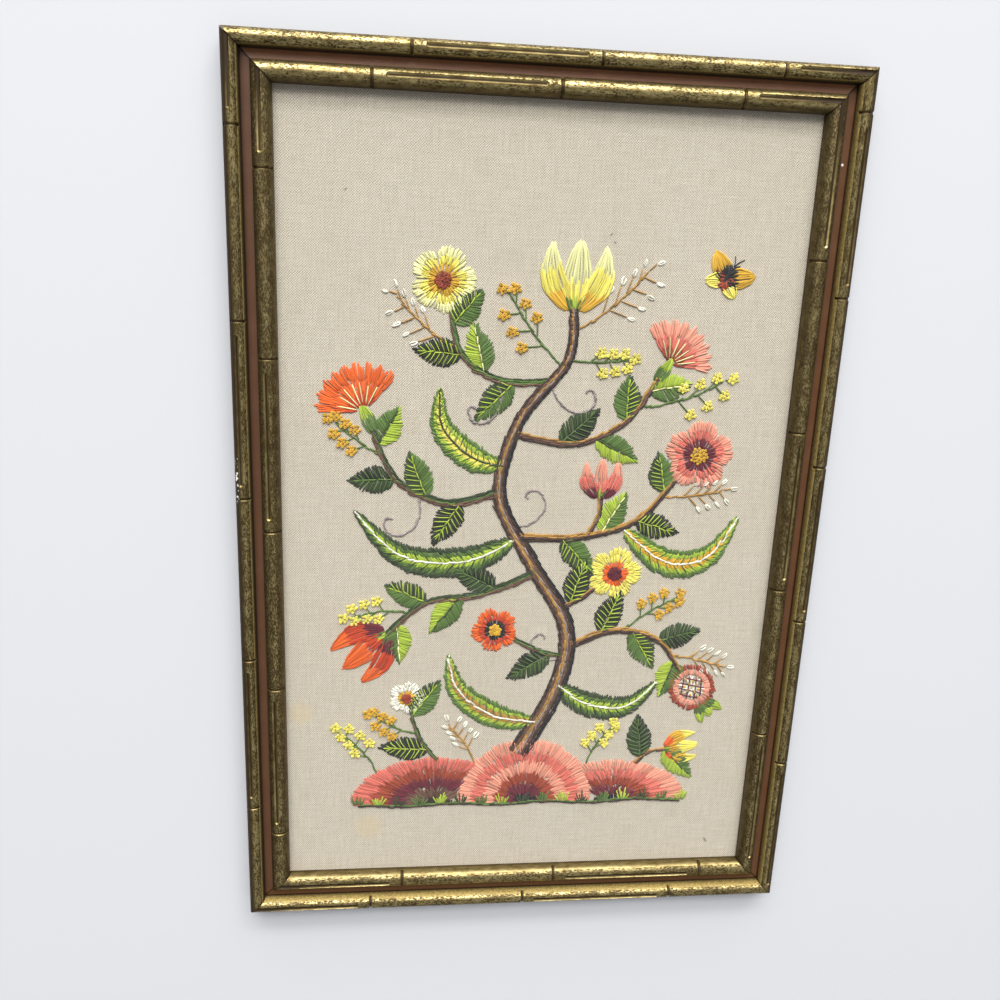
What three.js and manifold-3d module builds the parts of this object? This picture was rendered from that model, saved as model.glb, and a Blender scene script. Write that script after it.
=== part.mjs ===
// A crewel embroidery panel: linen stretched over a board in a gilt bamboo-pattern frame.
// It lies on its back with its face up. Millimetres: x runs across the panel, y towards its
// top edge and z out of its face, from the middle of the frame's back.

import * as THREE from 'three';
import { mergeVertices } from 'three/addons/utils/BufferGeometryUtils.js';
import Module from 'manifold-3d';

const wasm = await Module();
wasm.setup();

// Driving dimensions
const FRAME_WIDTH = 400;
const FRAME_HEIGHT = 600;
const PIECE_GAP = 0.3;

// The moulding's section: u runs inwards from the outer wall, z up from the flat back
const OUTER_BEAD = { u: 5, z: 14, radius: 5 };
const INNER_BEAD = { u: 22.2, z: 10.4, radius: 6.2 };
const CHANNEL_Z = 9.8;
const LIP_Z = 7;
const REBATE_U = 22;
const BEAD_STEPS = 10;

// The bamboo pattern: nodes at an even pitch, and every second length between them fluted.
// The inner bead's nodes sit a little further round the frame than the outer bead's.
const NODE_PITCH = 114.3;
const NODE_LEAD = 23.3;
const NODE_KERF = 2.2;
const NODE_DEPTH = 1.05;
const NODE_END_ANGLE = 0.05;
const FLUTE_WIDTH = 3.7;
const FLUTE_DEPTH = 1.15;
const FLUTE_MARGIN = 8;
const FLUTE_LEAN = 0.18;
const FLUTE_STEPS = 4;
const CUTTER_REACH = 2;
const CORNER_MARGIN = 6;

// Rails in order round the frame. "node" is where a node starts a fluted length, from mid-rail.
const RAILS = [
  { name: 'rail_bottom', quarterTurns: 0, length: FRAME_WIDTH, node: 2.4 },
  { name: 'rail_right', quarterTurns: 1, length: FRAME_HEIGHT, node: -70 },
  { name: 'rail_top', quarterTurns: 2, length: FRAME_WIDTH, node: -24.9 },
  { name: 'rail_left', quarterTurns: 3, length: FRAME_HEIGHT, node: -132.2 },
];

// The linen and its board in the rebate
const SIDE_PLAY = 1;
const PANEL_WIDTH = FRAME_WIDTH - 2 * (REBATE_U + SIDE_PLAY);
const PANEL_HEIGHT = FRAME_HEIGHT - 2 * (REBATE_U + SIDE_PLAY);
const LINEN_THICKNESS = 1.6;
const LINEN_TOP = LIP_Z - PIECE_GAP;
const LINEN_BACK = LINEN_TOP - LINEN_THICKNESS;
const BOARD_THICKNESS = 3.2;
const BOARD_TOP = LINEN_BACK - PIECE_GAP;

// How far each kind of stitching stands above the linen, and how deep it roots in it
const RELIEF = { hillock: 0.9, stem: 0.7, leaf: 0.8, plume: 1, petal: 1.1, middle: 1.5 };
const RELIEF_ROOT = 0.6;
const CURVE_STEPS = 5;
const BAND_STEPS_PER_SPAN = 4;

// The stitched design is a flowering branch on hillocks. Places are from the panel's middle.
const HILLOCK_FOOT = -218;
const HILLOCKS = [
  { x: -66, halfWidth: 60, height: 38 },
  { x: 68, halfWidth: 56, height: 33 },
  { x: 2, halfWidth: 50, height: 52 },
];

// Stems from root to tip: their width at each end, their leaves and the side the first one
// grows on (1 is left of the way it grows), and the bloom at the tip
const STEMS = [
  {
    width: [15, 5], leaves: 0, side: 1, bloom: 'tulip', size: 46,
    points: [[-6, -178], [20, -128], [26, -78], [-2, -28], [-26, 20], [-14, 72], [16, 112], [18, 146]],
  },
  {
    width: [6, 3], leaves: 4, side: 1, bloom: 'pomegranate', size: 48,
    points: [[24, -94], [60, -80], [94, -88], [112, -112]],
  },
  {
    width: [6, 3], leaves: 4, side: -1, bloom: 'tulip', size: 42,
    points: [[2, -36], [-36, -52], [-74, -58], [-102, -82]],
  },
  {
    width: [6, 3], leaves: 4, side: -1, bloom: 'rose', size: 50,
    points: [[-12, -10], [30, -10], [70, 2], [96, 32]],
  },
  {
    width: [6, 3], leaves: 4, side: 1, bloom: 'pink', size: 48,
    points: [[-26, 22], [-62, 14], [-96, 30], [-112, 64]],
  },
  {
    width: [5, 3], leaves: 4, side: 1, bloom: 'pink', size: 44,
    points: [[-16, 62], [24, 56], [58, 72], [78, 102]],
  },
  {
    width: [5, 3], leaves: 4, side: 1, bloom: 'rose', size: 44,
    points: [[4, 98], [-28, 98], [-54, 114], [-62, 142]],
  },
  {
    width: [4, 3], leaves: 1, side: 1, bloom: 'rose', size: 40,
    points: [[22, -62], [34, -56], [44, -48]],
  },
  {
    width: [4, 3], leaves: 1, side: 1, bloom: 'rose', size: 34,
    points: [[24, -100], [4, -94], [-12, -86]],
  },
  {
    width: [4, 3], leaves: 0, side: 1, bloom: 'tulip', size: 28,
    points: [[36, -10], [44, 6], [44, 20]],
  },
  {
    width: [3, 2], leaves: 2, side: 1, bloom: 'rose', size: 26,
    points: [[-64, -182], [-78, -162], [-84, -142]],
  },
  {
    width: [3, 2], leaves: 2, side: 1, bloom: 'tulip', size: 26,
    points: [[84, -188], [94, -178], [108, -176]],
  },
];

// How far a bloom's foot is worked over the tip of its stem
const BLOOM_TUCK = 2;

// Leaves on the stems, each a little shorter than the last, and the long curled leaves
const LEAF = { length: 37, shrink: 0.06, halfWidth: 7.5, splay: 0.85, firstAt: 0.25, lastAt: 0.88 };
const PLUMES = [
  { width: 23, points: [[-14, -12], [-48, -28], [-92, -24], [-124, 8]] },
  { width: 22, points: [[62, -4], [94, -28], [124, -24], [144, 6]] },
  { width: 20, points: [[-24, 40], [-46, 46], [-66, 66], [-68, 92]] },
  { width: 21, points: [[22, -122], [44, -138], [74, -140], [96, -120]] },
  { width: 21, points: [[8, -152], [-24, -146], [-50, -126], [-58, -98]] },
];

// A butterfly: its body, and its wings turned from its heading
const BUTTERFLY = { x: 118, y: 168, heading: -0.5, length: 16, halfWidth: 1.5, tail: 7 };
const WING_HALF_WIDTH = 0.36;
const WINGS = [
  { turn: 0.95, size: 20 },
  { turn: -0.95, size: 20 },
  { turn: 2.15, size: 14 },
  { turn: -2.15, size: 14 },
];

// Joining and cutting
function solidOf(geometry) {
  geometry.deleteAttribute('normal');
  geometry.deleteAttribute('uv');
  const merged = mergeVertices(geometry);
  return new wasm.Manifold(new wasm.Mesh({
    numProp: 3,
    vertProperties: new Float32Array(merged.attributes.position.array),
    triVerts: new Uint32Array(merged.index.array),
  }));
}

function geometryOf(solid) {
  const { vertProperties, triVerts } = solid.getMesh();
  const geometry = new THREE.BufferGeometry();
  geometry.setAttribute('position', new THREE.BufferAttribute(vertProperties, 3));
  geometry.setIndex(new THREE.BufferAttribute(triVerts, 1));
  geometry.computeVertexNormals();
  return geometry;
}

// The moulding's section lies in x (inwards) and y (up), and is drawn out along z.
// This turns it so that the rail runs along x, with y inwards and z up.
const ALONG_RAIL = new THREE.Matrix4().makeBasis(
  new THREE.Vector3(0, 1, 0),
  new THREE.Vector3(0, 0, 1),
  new THREE.Vector3(1, 0, 0),
);

function mouldingSection() {
  const section = new THREE.Shape();
  section.moveTo(0, 0);
  section.lineTo(0, OUTER_BEAD.z);
  section.absarc(OUTER_BEAD.u, OUTER_BEAD.z, OUTER_BEAD.radius, Math.PI, 0, true);
  section.lineTo(OUTER_BEAD.u + OUTER_BEAD.radius, CHANNEL_Z);
  section.absarc(INNER_BEAD.u, INNER_BEAD.z, INNER_BEAD.radius, Math.PI, 0, true);
  section.lineTo(INNER_BEAD.u + INNER_BEAD.radius, LIP_Z);
  section.lineTo(REBATE_U, LIP_Z);
  section.lineTo(REBATE_U, 0);
  return section;
}

// A length of moulding with both ends cut to a mitre
function mitredRail(length) {
  const settings = { depth: length, bevelEnabled: false, curveSegments: BEAD_STEPS };
  const geometry = new THREE.ExtrudeGeometry(mouldingSection(), settings);
  geometry.translate(0, 0, -length / 2);
  geometry.applyMatrix4(ALONG_RAIL);
  const places = geometry.attributes.position;
  for (let i = 0; i < places.count; i += 1) {
    const cutBack = places.getY(i) + PIECE_GAP / Math.SQRT2;
    places.setX(i, places.getX(i) - Math.sign(places.getX(i)) * cutBack);
  }
  return solidOf(geometry);
}

// The saw kerf of one node, over the top of a bead
function nodeCutter(bead, along) {
  const kerf = new THREE.Shape();
  const start = NODE_END_ANGLE;
  const end = Math.PI - NODE_END_ANGLE;
  kerf.absarc(bead.u, bead.z, bead.radius + CUTTER_REACH, start, end, false);
  kerf.absarc(bead.u, bead.z, bead.radius - NODE_DEPTH, end, start, true);
  const settings = { depth: NODE_KERF, bevelEnabled: false, curveSegments: BEAD_STEPS };
  const geometry = new THREE.ExtrudeGeometry(kerf, settings);
  geometry.translate(0, 0, along - NODE_KERF / 2);
  geometry.applyMatrix4(ALONG_RAIL);
  return solidOf(geometry);
}

// The long round-ended flute of one bamboo length, leaning a little outwards
function fluteCutter(bead, middle) {
  const half = NODE_PITCH / 2 - FLUTE_MARGIN - FLUTE_WIDTH / 2;
  const slot = new THREE.Shape();
  slot.absarc(-half, 0, FLUTE_WIDTH / 2, Math.PI / 2, 1.5 * Math.PI, false);
  slot.absarc(half, 0, FLUTE_WIDTH / 2, -Math.PI / 2, Math.PI / 2, false);
  const settings = { depth: FLUTE_DEPTH + CUTTER_REACH, bevelEnabled: false, curveSegments: FLUTE_STEPS };
  const geometry = new THREE.ExtrudeGeometry(slot, settings);
  geometry.translate(0, 0, bead.radius - FLUTE_DEPTH);
  geometry.rotateX(FLUTE_LEAN);
  geometry.translate(middle, bead.u, bead.z);
  return solidOf(geometry);
}

// Every node and flute that falls on one rail
function bambooCutters(rail) {
  const cutters = [];
  for (const [bead, lead] of [[OUTER_BEAD, 0], [INNER_BEAD, NODE_LEAD]]) {
    const reach = rail.length / 2 - bead.u;
    const count = Math.ceil(rail.length / NODE_PITCH);
    for (let i = -count; i <= count; i += 1) {
      const along = rail.node + lead + i * NODE_PITCH;
      if (Math.abs(along) < reach - CORNER_MARGIN) cutters.push(nodeCutter(bead, along));
      const middle = along + NODE_PITCH / 2;
      const inside = Math.abs(middle) < reach + NODE_PITCH / 2 - FLUTE_MARGIN - CORNER_MARGIN;
      if (i % 2 === 0 && inside) cutters.push(fluteCutter(bead, middle));
    }
  }
  return cutters;
}

function railGeometry(rail) {
  let solid = mitredRail(rail.length);
  for (const cutter of bambooCutters(rail)) solid = solid.subtract(cutter);
  return geometryOf(solid);
}

// Outlines of the stitched motifs. Each grows from the origin along +y to the height given,
// and its proportions are shares of that height.
function leafOutline(length, halfWidth) {
  const belly = { x: 1.35 * halfWidth, y: 0.25 * length };
  const shoulder = { x: 1.1 * halfWidth, y: 0.7 * length };
  const leaf = new THREE.Shape();
  leaf.moveTo(0, 0);
  leaf.bezierCurveTo(belly.x, belly.y, shoulder.x, shoulder.y, 0, length);
  leaf.bezierCurveTo(-shoulder.x, shoulder.y, -belly.x, belly.y, 0, 0);
  return leaf;
}

function roseOutlines(height) {
  const petals = 5;
  const notch = 0.36;
  const swell = 0.61;
  const shoulder = 0.12;
  const middleRadius = 0.14;
  const step = (2 * Math.PI) / petals;
  const at = (petal, reach) => [
    height * reach * Math.sin(petal * step),
    height * (0.5 + reach * Math.cos(petal * step)),
  ];
  const rose = new THREE.Shape();
  rose.moveTo(...at(0, notch));
  for (let i = 0; i < petals; i += 1) {
    const near = at(i + shoulder, swell);
    const far = at(i + 1 - shoulder, swell);
    rose.bezierCurveTo(...near, ...far, ...at(i + 1, notch));
  }
  const middle = new THREE.Shape();
  middle.absarc(0, height / 2, middleRadius * height, 0, 2 * Math.PI, false);
  return [['petal', rose], ['middle', middle]];
}

function tulipOutlines(height) {
  const tulip = new THREE.Shape();
  const at = (x, y) => [x * height, y * height];
  tulip.moveTo(0, 0);
  tulip.bezierCurveTo(...at(0.36, 0.05), ...at(0.46, 0.5), ...at(0.38, 0.92));
  tulip.quadraticCurveTo(...at(0.22, 0.84), ...at(0.16, 0.66));
  tulip.quadraticCurveTo(...at(0.12, 0.86), ...at(0, 1));
  tulip.quadraticCurveTo(...at(-0.12, 0.86), ...at(-0.16, 0.66));
  tulip.quadraticCurveTo(...at(-0.22, 0.84), ...at(-0.38, 0.92));
  tulip.bezierCurveTo(...at(-0.46, 0.5), ...at(-0.36, 0.05), 0, 0);
  return [['petal', tulip]];
}

function pinkOutlines(height) {
  const teeth = 9;
  const spread = 1.15;
  const neck = { x: 0.1 * height, y: 0.3 * height };
  const toothTip = 0.7 * height;
  const toothGap = 0.62 * height;
  const pink = new THREE.Shape();
  pink.moveTo(0, 0);
  pink.lineTo(neck.x, neck.y);
  for (let i = 0; i <= 2 * teeth; i += 1) {
    const angle = spread * (1 - i / teeth);
    const reach = i % 2 ? toothTip : toothGap;
    pink.lineTo(reach * Math.sin(angle), neck.y + reach * Math.cos(angle));
  }
  pink.lineTo(-neck.x, neck.y);
  return [['petal', pink]];
}

function pomegranateOutlines(height) {
  const oval = (x, y) => {
    const outline = new THREE.Shape();
    return outline.absellipse(0, 0.4 * height, x * height, y * height, 0, 2 * Math.PI);
  };
  const halfCrown = [[0.1, 0.74], [0.22, 1], [0.08, 0.9], [0, 1.02]];
  const otherHalf = halfCrown.slice(0, -1).reverse().map(([x, y]) => [-x, y]);
  const crownPoints = [...halfCrown, ...otherHalf].map(([x, y]) => new THREE.Vector2(x * height, y * height));
  return [['petal', oval(0.36, 0.4)], ['leaf', new THREE.Shape(crownPoints)], ['middle', oval(0.2, 0.26)]];
}

const BLOOM_OUTLINES = {
  rose: roseOutlines,
  tulip: tulipOutlines,
  pink: pinkOutlines,
  pomegranate: pomegranateOutlines,
};

function smoothLine(points) {
  return new THREE.SplineCurve(points.map(([x, y]) => new THREE.Vector2(x, y)));
}

// A band along a smooth line through the points, as wide as widthAt says from 0 to 1 along it
function bandOutline(points, widthAt) {
  const line = smoothLine(points);
  const steps = BAND_STEPS_PER_SPAN * (points.length - 1);
  const near = [];
  const far = [];
  for (let i = 0; i <= steps; i += 1) {
    const t = i / steps;
    const middle = line.getPoint(t);
    const ahead = line.getTangent(t);
    const across = new THREE.Vector2(-ahead.y, ahead.x).multiplyScalar(widthAt(t) / 2);
    near.push(middle.clone().sub(across));
    far.unshift(middle.clone().add(across));
  }
  return new THREE.Shape([...near, ...far]);
}

// One motif raised on the linen, turned about its root and set in place
function raised(outline, kind, x = 0, y = 0, turn = 0) {
  const settings = {
    depth: RELIEF[kind] + RELIEF_ROOT,
    bevelEnabled: false,
    curveSegments: CURVE_STEPS,
  };
  const geometry = new THREE.ExtrudeGeometry(outline, settings);
  geometry.rotateZ(turn);
  geometry.translate(x, y, LINEN_TOP - RELIEF_ROOT);
  return solidOf(geometry);
}

function raisedHillocks() {
  return HILLOCKS.map(({ x, halfWidth, height }) => {
    const mound = new THREE.Shape().absellipse(x, HILLOCK_FOOT, halfWidth, height, 0, Math.PI, false);
    return raised(mound, 'hillock');
  });
}

function raisedStem({ width, leaves, side, bloom, size, points }) {
  const pieces = [raised(bandOutline(points, (t) => width[0] + (width[1] - width[0]) * t), 'stem')];
  const line = smoothLine(points);
  const turnAt = (t) => line.getTangent(t).angle() - Math.PI / 2;
  for (let i = 0; i < leaves; i += 1) {
    const t = LEAF.firstAt + ((LEAF.lastAt - LEAF.firstAt) * i) / Math.max(leaves - 1, 1);
    const splay = (i % 2 ? -side : side) * LEAF.splay;
    const root = line.getPoint(t);
    const leaf = leafOutline(LEAF.length * (1 - LEAF.shrink * i), LEAF.halfWidth);
    pieces.push(raised(leaf, 'leaf', root.x, root.y, turnAt(t) + splay));
  }
  const tip = line.getPoint(1).addScaledVector(line.getTangent(1), -BLOOM_TUCK);
  for (const [kind, outline] of BLOOM_OUTLINES[bloom](size)) {
    pieces.push(raised(outline, kind, tip.x, tip.y, turnAt(1)));
  }
  return pieces;
}

// A plume swells towards its middle and ends in a blunt point
function raisedPlumes() {
  const tipWidth = 0.4;
  const swell = (width) => (t) => Math.max(width * Math.sin(Math.PI * t ** 0.8) ** 0.9, tipWidth);
  return PLUMES.map(({ width, points }) => raised(bandOutline(points, swell(width)), 'plume'));
}

function raisedButterfly() {
  const { x, y, heading, length, halfWidth, tail } = BUTTERFLY;
  const tailX = x + tail * Math.sin(heading);
  const tailY = y - tail * Math.cos(heading);
  const body = raised(leafOutline(length, halfWidth), 'middle', tailX, tailY, heading);
  const wings = WINGS.map(({ turn, size }) => {
    const wing = leafOutline(size, WING_HALF_WIDTH * size);
    return raised(wing, 'leaf', x, y, heading + turn);
  });
  return [body, ...wings];
}

function linenGeometry() {
  const sheet = new THREE.BoxGeometry(PANEL_WIDTH, PANEL_HEIGHT, LINEN_THICKNESS);
  sheet.translate(0, 0, LINEN_TOP - LINEN_THICKNESS / 2);
  const motifs = [
    ...raisedHillocks(),
    ...STEMS.flatMap(raisedStem),
    ...raisedPlumes(),
    ...raisedButterfly(),
  ];
  let solid = solidOf(sheet);
  for (const motif of motifs) solid = solid.add(motif);
  return geometryOf(solid);
}

function boardGeometry() {
  const board = new THREE.BoxGeometry(PANEL_WIDTH, PANEL_HEIGHT, BOARD_THICKNESS);
  board.translate(0, 0, BOARD_TOP - BOARD_THICKNESS / 2);
  return board;
}

// Finishes
const GILT = new THREE.MeshStandardMaterial({ color: 0xa98d45, roughness: 0.42, metalness: 0.7 });
const LINEN = new THREE.MeshStandardMaterial({ color: 0xd8d0be, roughness: 0.92, metalness: 0 });
const BOARD = new THREE.MeshStandardMaterial({ color: 0x8c7a62, roughness: 0.88, metalness: 0 });

function named(name, geometry, material) {
  const mesh = new THREE.Mesh(geometry, material);
  mesh.name = name;
  return mesh;
}

// The panel
const panel = new THREE.Group();
for (const rail of RAILS) {
  const side = new THREE.Group();
  side.rotation.z = (rail.quarterTurns * Math.PI) / 2;
  const piece = named(rail.name, railGeometry(rail), GILT);
  const halfSpan = rail.quarterTurns % 2 ? FRAME_WIDTH / 2 : FRAME_HEIGHT / 2;
  piece.position.y = -halfSpan;
  side.add(piece);
  panel.add(side);
}
panel.add(named('linen_ground', linenGeometry(), LINEN));
panel.add(named('mount_board', boardGeometry(), BOARD));

export default panel;
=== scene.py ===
import functools
import math

import bmesh
import bpy
import numpy as np
from mathutils import Matrix, Vector


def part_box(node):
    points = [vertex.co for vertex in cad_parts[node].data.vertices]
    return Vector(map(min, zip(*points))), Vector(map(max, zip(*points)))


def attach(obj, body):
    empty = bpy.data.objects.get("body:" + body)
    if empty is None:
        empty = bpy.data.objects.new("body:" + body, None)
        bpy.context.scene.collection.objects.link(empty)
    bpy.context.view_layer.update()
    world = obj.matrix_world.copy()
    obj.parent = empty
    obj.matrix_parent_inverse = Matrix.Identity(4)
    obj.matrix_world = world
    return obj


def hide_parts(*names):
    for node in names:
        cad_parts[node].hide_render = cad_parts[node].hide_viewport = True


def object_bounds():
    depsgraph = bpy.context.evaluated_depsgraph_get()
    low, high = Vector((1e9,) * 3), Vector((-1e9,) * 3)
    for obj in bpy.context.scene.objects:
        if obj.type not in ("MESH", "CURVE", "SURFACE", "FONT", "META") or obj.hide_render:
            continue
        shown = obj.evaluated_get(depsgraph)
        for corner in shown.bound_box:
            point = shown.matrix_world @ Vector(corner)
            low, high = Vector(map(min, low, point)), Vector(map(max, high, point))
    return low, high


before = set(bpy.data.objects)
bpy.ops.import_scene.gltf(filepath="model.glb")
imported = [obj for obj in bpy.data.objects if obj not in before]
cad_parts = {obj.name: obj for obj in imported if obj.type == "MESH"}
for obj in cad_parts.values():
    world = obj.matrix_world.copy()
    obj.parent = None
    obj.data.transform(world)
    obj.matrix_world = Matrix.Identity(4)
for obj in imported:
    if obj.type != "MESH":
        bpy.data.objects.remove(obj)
cad_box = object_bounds()

# Sizes are in millimetres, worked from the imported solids, and become metres as each piece is finished
MM = 0.001
FRAME_LOW, FRAME_HIGH = (Vector(corner) / MM for corner in cad_box)
FRAME_WIDTH = FRAME_HIGH.x - FRAME_LOW.x
FRAME_HEIGHT = FRAME_HIGH.y - FRAME_LOW.y
LINEN_LOW, LINEN_HIGH = (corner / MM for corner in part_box("linen_ground"))
BOARD_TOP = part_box("mount_board")[1].z / MM
PIECE_GAP = 0.3
PANEL_WIDTH = LINEN_HIGH.x - LINEN_LOW.x
PANEL_HEIGHT = LINEN_HIGH.y - LINEN_LOW.y

# The cloth: its solid's face, how far under that it lies, the height of its waves, the room that keeps
# them off the board, and the grid of its points
LINEN_TOP = 6.7
LINEN_SINK = 0.12
LINEN_WAVE = 0.07
LINEN_ROOM = 0.4
LINEN_COLUMNS = 90
LINEN_ROWS = 140
CLOTH_THICKNESS = LINEN_TOP - BOARD_TOP - PIECE_GAP - LINEN_ROOM

# The moulding's section: u runs inwards from the outer wall, z up from the flat back.
# Each bead's nodes start a lead along the rail, and a column of the rails says how much spatter it has.
OUTER_BEAD = dict(u=5.0, z=14.0, radius=5.0, node_lead=0.0, spatter="outer_spatter")
INNER_BEAD = dict(u=22.2, z=10.4, radius=6.2, node_lead=23.3, spatter="inner_spatter")
BEADS = (OUTER_BEAD, INNER_BEAD)
BEAD_STEPS = 28
CHANNEL_START = OUTER_BEAD["u"] + OUTER_BEAD["radius"]
CHANNEL_END = INNER_BEAD["u"] - INNER_BEAD["radius"]
CHANNEL_Z = 9.8
QUIRK = 1.0
LIP_Z = 7.0
REBATE_U = 22.0
MITRE_GAP = PIECE_GAP / math.sqrt(2)
MITRE_SEAM = 0.7

# How close a point or face has to be to count as lying at a place, and as just inside a wall
NEAR = 0.1
INSIDE = 0.02

# The turn in degrees up to which an edge of a rail, and of the linen, is shaded smooth
RAIL_SMOOTH = 32
LINEN_SMOOTH = 40

# The bamboo pattern: nodes at an even pitch, every second length between them fluted
NODE_PITCH = 114.3
NODE_DEPTH = 1.05
NODE_ROUND = 1.25
FLUTE_ROUND = 2.2
FLUTE_DEPTH = 1.15
FLUTE_MARGIN = 8.0
FLUTE_LEAN = 0.18
CORNER_MARGIN = 6.0

# Dark toning and painted shade down the beads' sides. On the outer and the linen sides it is partly the
# frame's own antiquing and partly painted shade. On the outer bead's side to the channel, and on the inner
# bead's side at the channel's floor, it is painted shade alone. It is heavier where a rail's side gets less
# light. Each row gives the share of the half width where it starts, and the rails' column that says how dark
# it gets. A side of -1 faces outwards and 1 the linen.
TONING_AND_SHADE = (
    dict(bead=OUTER_BEAD, side=-1, start=0.12, amount="outer_toning_and_shade"),
    dict(bead=OUTER_BEAD, side=1, start=0.8, amount="wall_painted_shade"),
    dict(bead=INNER_BEAD, side=-1, start=0.8, amount="channel_painted_shade"),
    dict(bead=INNER_BEAD, side=1, start=0.35, amount="linen_toning_and_shade"),
)
TONING_AND_SHADE_CURVE = 0.55

# How dark the outer wall and the wall to the linen are, and the outer bead's side at its foot. A cut has no
# spatter past the first share of its depth, and dirt past the second. The inner bead faces the linen past
# the third, a share of its half width.
EDGE_TONE = 0.8
FOOT_TONE = 0.7
CUT_SHARE = 0.1
DIRT_SHARE = 0.62
LINEN_SHARE = 0.75
NO_SPATTER = -2.0

# A rail's finishes after gilt, which comes first, and how far paint reaches from the channel over the bead
LACQUER, WOOD, PAINT = 1, 2, 3
PAINTED_SIDE = 1.0

# Rails in order round the frame: quarter turns and where a node starts a fluted length. Then how dark the
# toning and painted shade get, heavier where a rail's side gets less light. This is given on the outer side
# (antiquing and painted shade), on the outer bead's wall to the channel (painted shade), on the channel's
# floor next to that wall (its dark quirk and painted shade) and at the inner bead (painted shade), and on
# the linen side (toning and painted shade). Last the spatter on each bead and on what faces the linen.
RAILS = (
    dict(name="rail_bottom", turns=0, length=FRAME_WIDTH, node=2.4,
         outer_toning_and_shade=0.0, wall_painted_shade=0.0, quirk_dark_and_shade=0.65, channel_painted_shade=0.8, linen_toning_and_shade=0.35,
         outer_spatter=0.05, inner_spatter=0.05, linen_spatter=NO_SPATTER),
    dict(name="rail_right", turns=1, length=FRAME_HEIGHT, node=-70.0,
         outer_toning_and_shade=1.2, wall_painted_shade=0.3, quirk_dark_and_shade=0.55, channel_painted_shade=0.8, linen_toning_and_shade=0.65,
         outer_spatter=0.0, inner_spatter=0.55, linen_spatter=0.6),
    dict(name="rail_top", turns=2, length=FRAME_WIDTH, node=-24.9,
         outer_toning_and_shade=0.0, wall_painted_shade=0.9, quirk_dark_and_shade=0.0, channel_painted_shade=0.45, linen_toning_and_shade=0.75,
         outer_spatter=-0.2, inner_spatter=-0.3, linen_spatter=NO_SPATTER),
    dict(name="rail_left", turns=3, length=FRAME_HEIGHT, node=-132.2,
         outer_toning_and_shade=1.25, wall_painted_shade=0.9, quirk_dark_and_shade=0.7, channel_painted_shade=0.7, linen_toning_and_shade=0.65,
         outer_spatter=0.1, inner_spatter=0.55, linen_spatter=0.6),
)

# Marks of wear: chips along the left rail's outer edge, a speck of paint in the right rail's channel,
# faint yellow stains on the linen, and bits of lint caught in it
CHIPS = dict(x=-198.3, half_width=0.9, y=30.5, half_length=15.0)
PAINT_SPECK = dict(place=(186.0, 242.0, 10.1), radius=0.7)
STAINS = (
    dict(x=-162, y=-142, radius=9),
    dict(x=-114, y=-236, radius=12),
)
LINT = (
    dict(x=147, y=-257, length=3.4, turn=0.7),
    dict(x=39, y=193, length=1.8, turn=-0.4),
    dict(x=43, y=189, length=1.4, turn=1.2),
    dict(x=-128, y=214, length=1.6, turn=2.0),
)
LINT_WOOL = "taupe"

# The camera, from the frame's corners in the photograph: where it stands, the point of the
# frame that it looks at, its roll, and its focal length in pixels of a 1000 pixel image
CAMERA_PLACE = (-96.7, 185.5, 622.9)
CAMERA_AIM = (-26.4, 18.6, 15.0)
CAMERA_ROLL = math.radians(2.31)
FOCAL_PIXELS = 942.5
IMAGE_PIXELS = 1000
SENSOR_MM = 36.0

# Two lights far beyond the panel's top edge, one lower than the other, for the shade under the top rail, a
# very broad one behind them for the gilt's highlights, and a dim one beyond the foot that the beads' lower
# sides reflect. They are in metres and watts.
LIGHTS = (
    dict(name="low_light", place=(0.45, 7.95, 4.8), aim=(0, -0.1, 0), size=(8.4, 1.5), power=440),
    dict(name="high_light", place=(-0.9, 5.85, 6.3), aim=(0, -0.1, 0), size=(5.7, 1.8), power=300),
    dict(name="broad_light", place=(0, 9.75, 6.8), aim=(0, 0, 0), size=(17.2, 14.1), power=1800),
    dict(name="foot_light", place=(1.0, -2.75, 4.05), aim=(0, 0, 0), size=(6.0, 4.0), power=20),
)
SURROUND_COLOUR = "EDF1F8"
SURROUND_STRENGTH = 0.24
FLOOR_SIZE = 6.0

# Crewel wools by name, in sRGB
WOOLS = {
    "primrose": "F4EDA8",
    "lemon": "EFE065",
    "gold": "D9A92F",
    "orange": "E8651F",
    "flame": "C2401A",
    "coral": "E79A80",
    "salmon": "D8705F",
    "rust": "9C4229",
    "maroon": "691F2E",
    "pine": "272D20",
    "spruce": "38462A",
    "moss": "587433",
    "lime": "A8BF3C",
    "cream": "F1ECDA",
    "tan": "B3863E",
    "taupe": "978C88",
    "walnut": "6A4C3C",
    "umber": "3D2B22",
    "black": "1B1B1E",
}

# The stitched design is a flowering branch on hillocks. Places are from the panel's middle.
HILLOCK_FOOT = -218
HILLOCKS = (
    dict(x=-66, half_width=60, height=38, wools=("salmon", "rust", "maroon", "walnut", "umber")),
    dict(x=68, half_width=56, height=33, wools=("coral", "salmon", "rust", "maroon", "black")),
    dict(x=2, half_width=50, height=52, wools=("coral", "salmon", "coral", "rust", "maroon", "black")),
)

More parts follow.
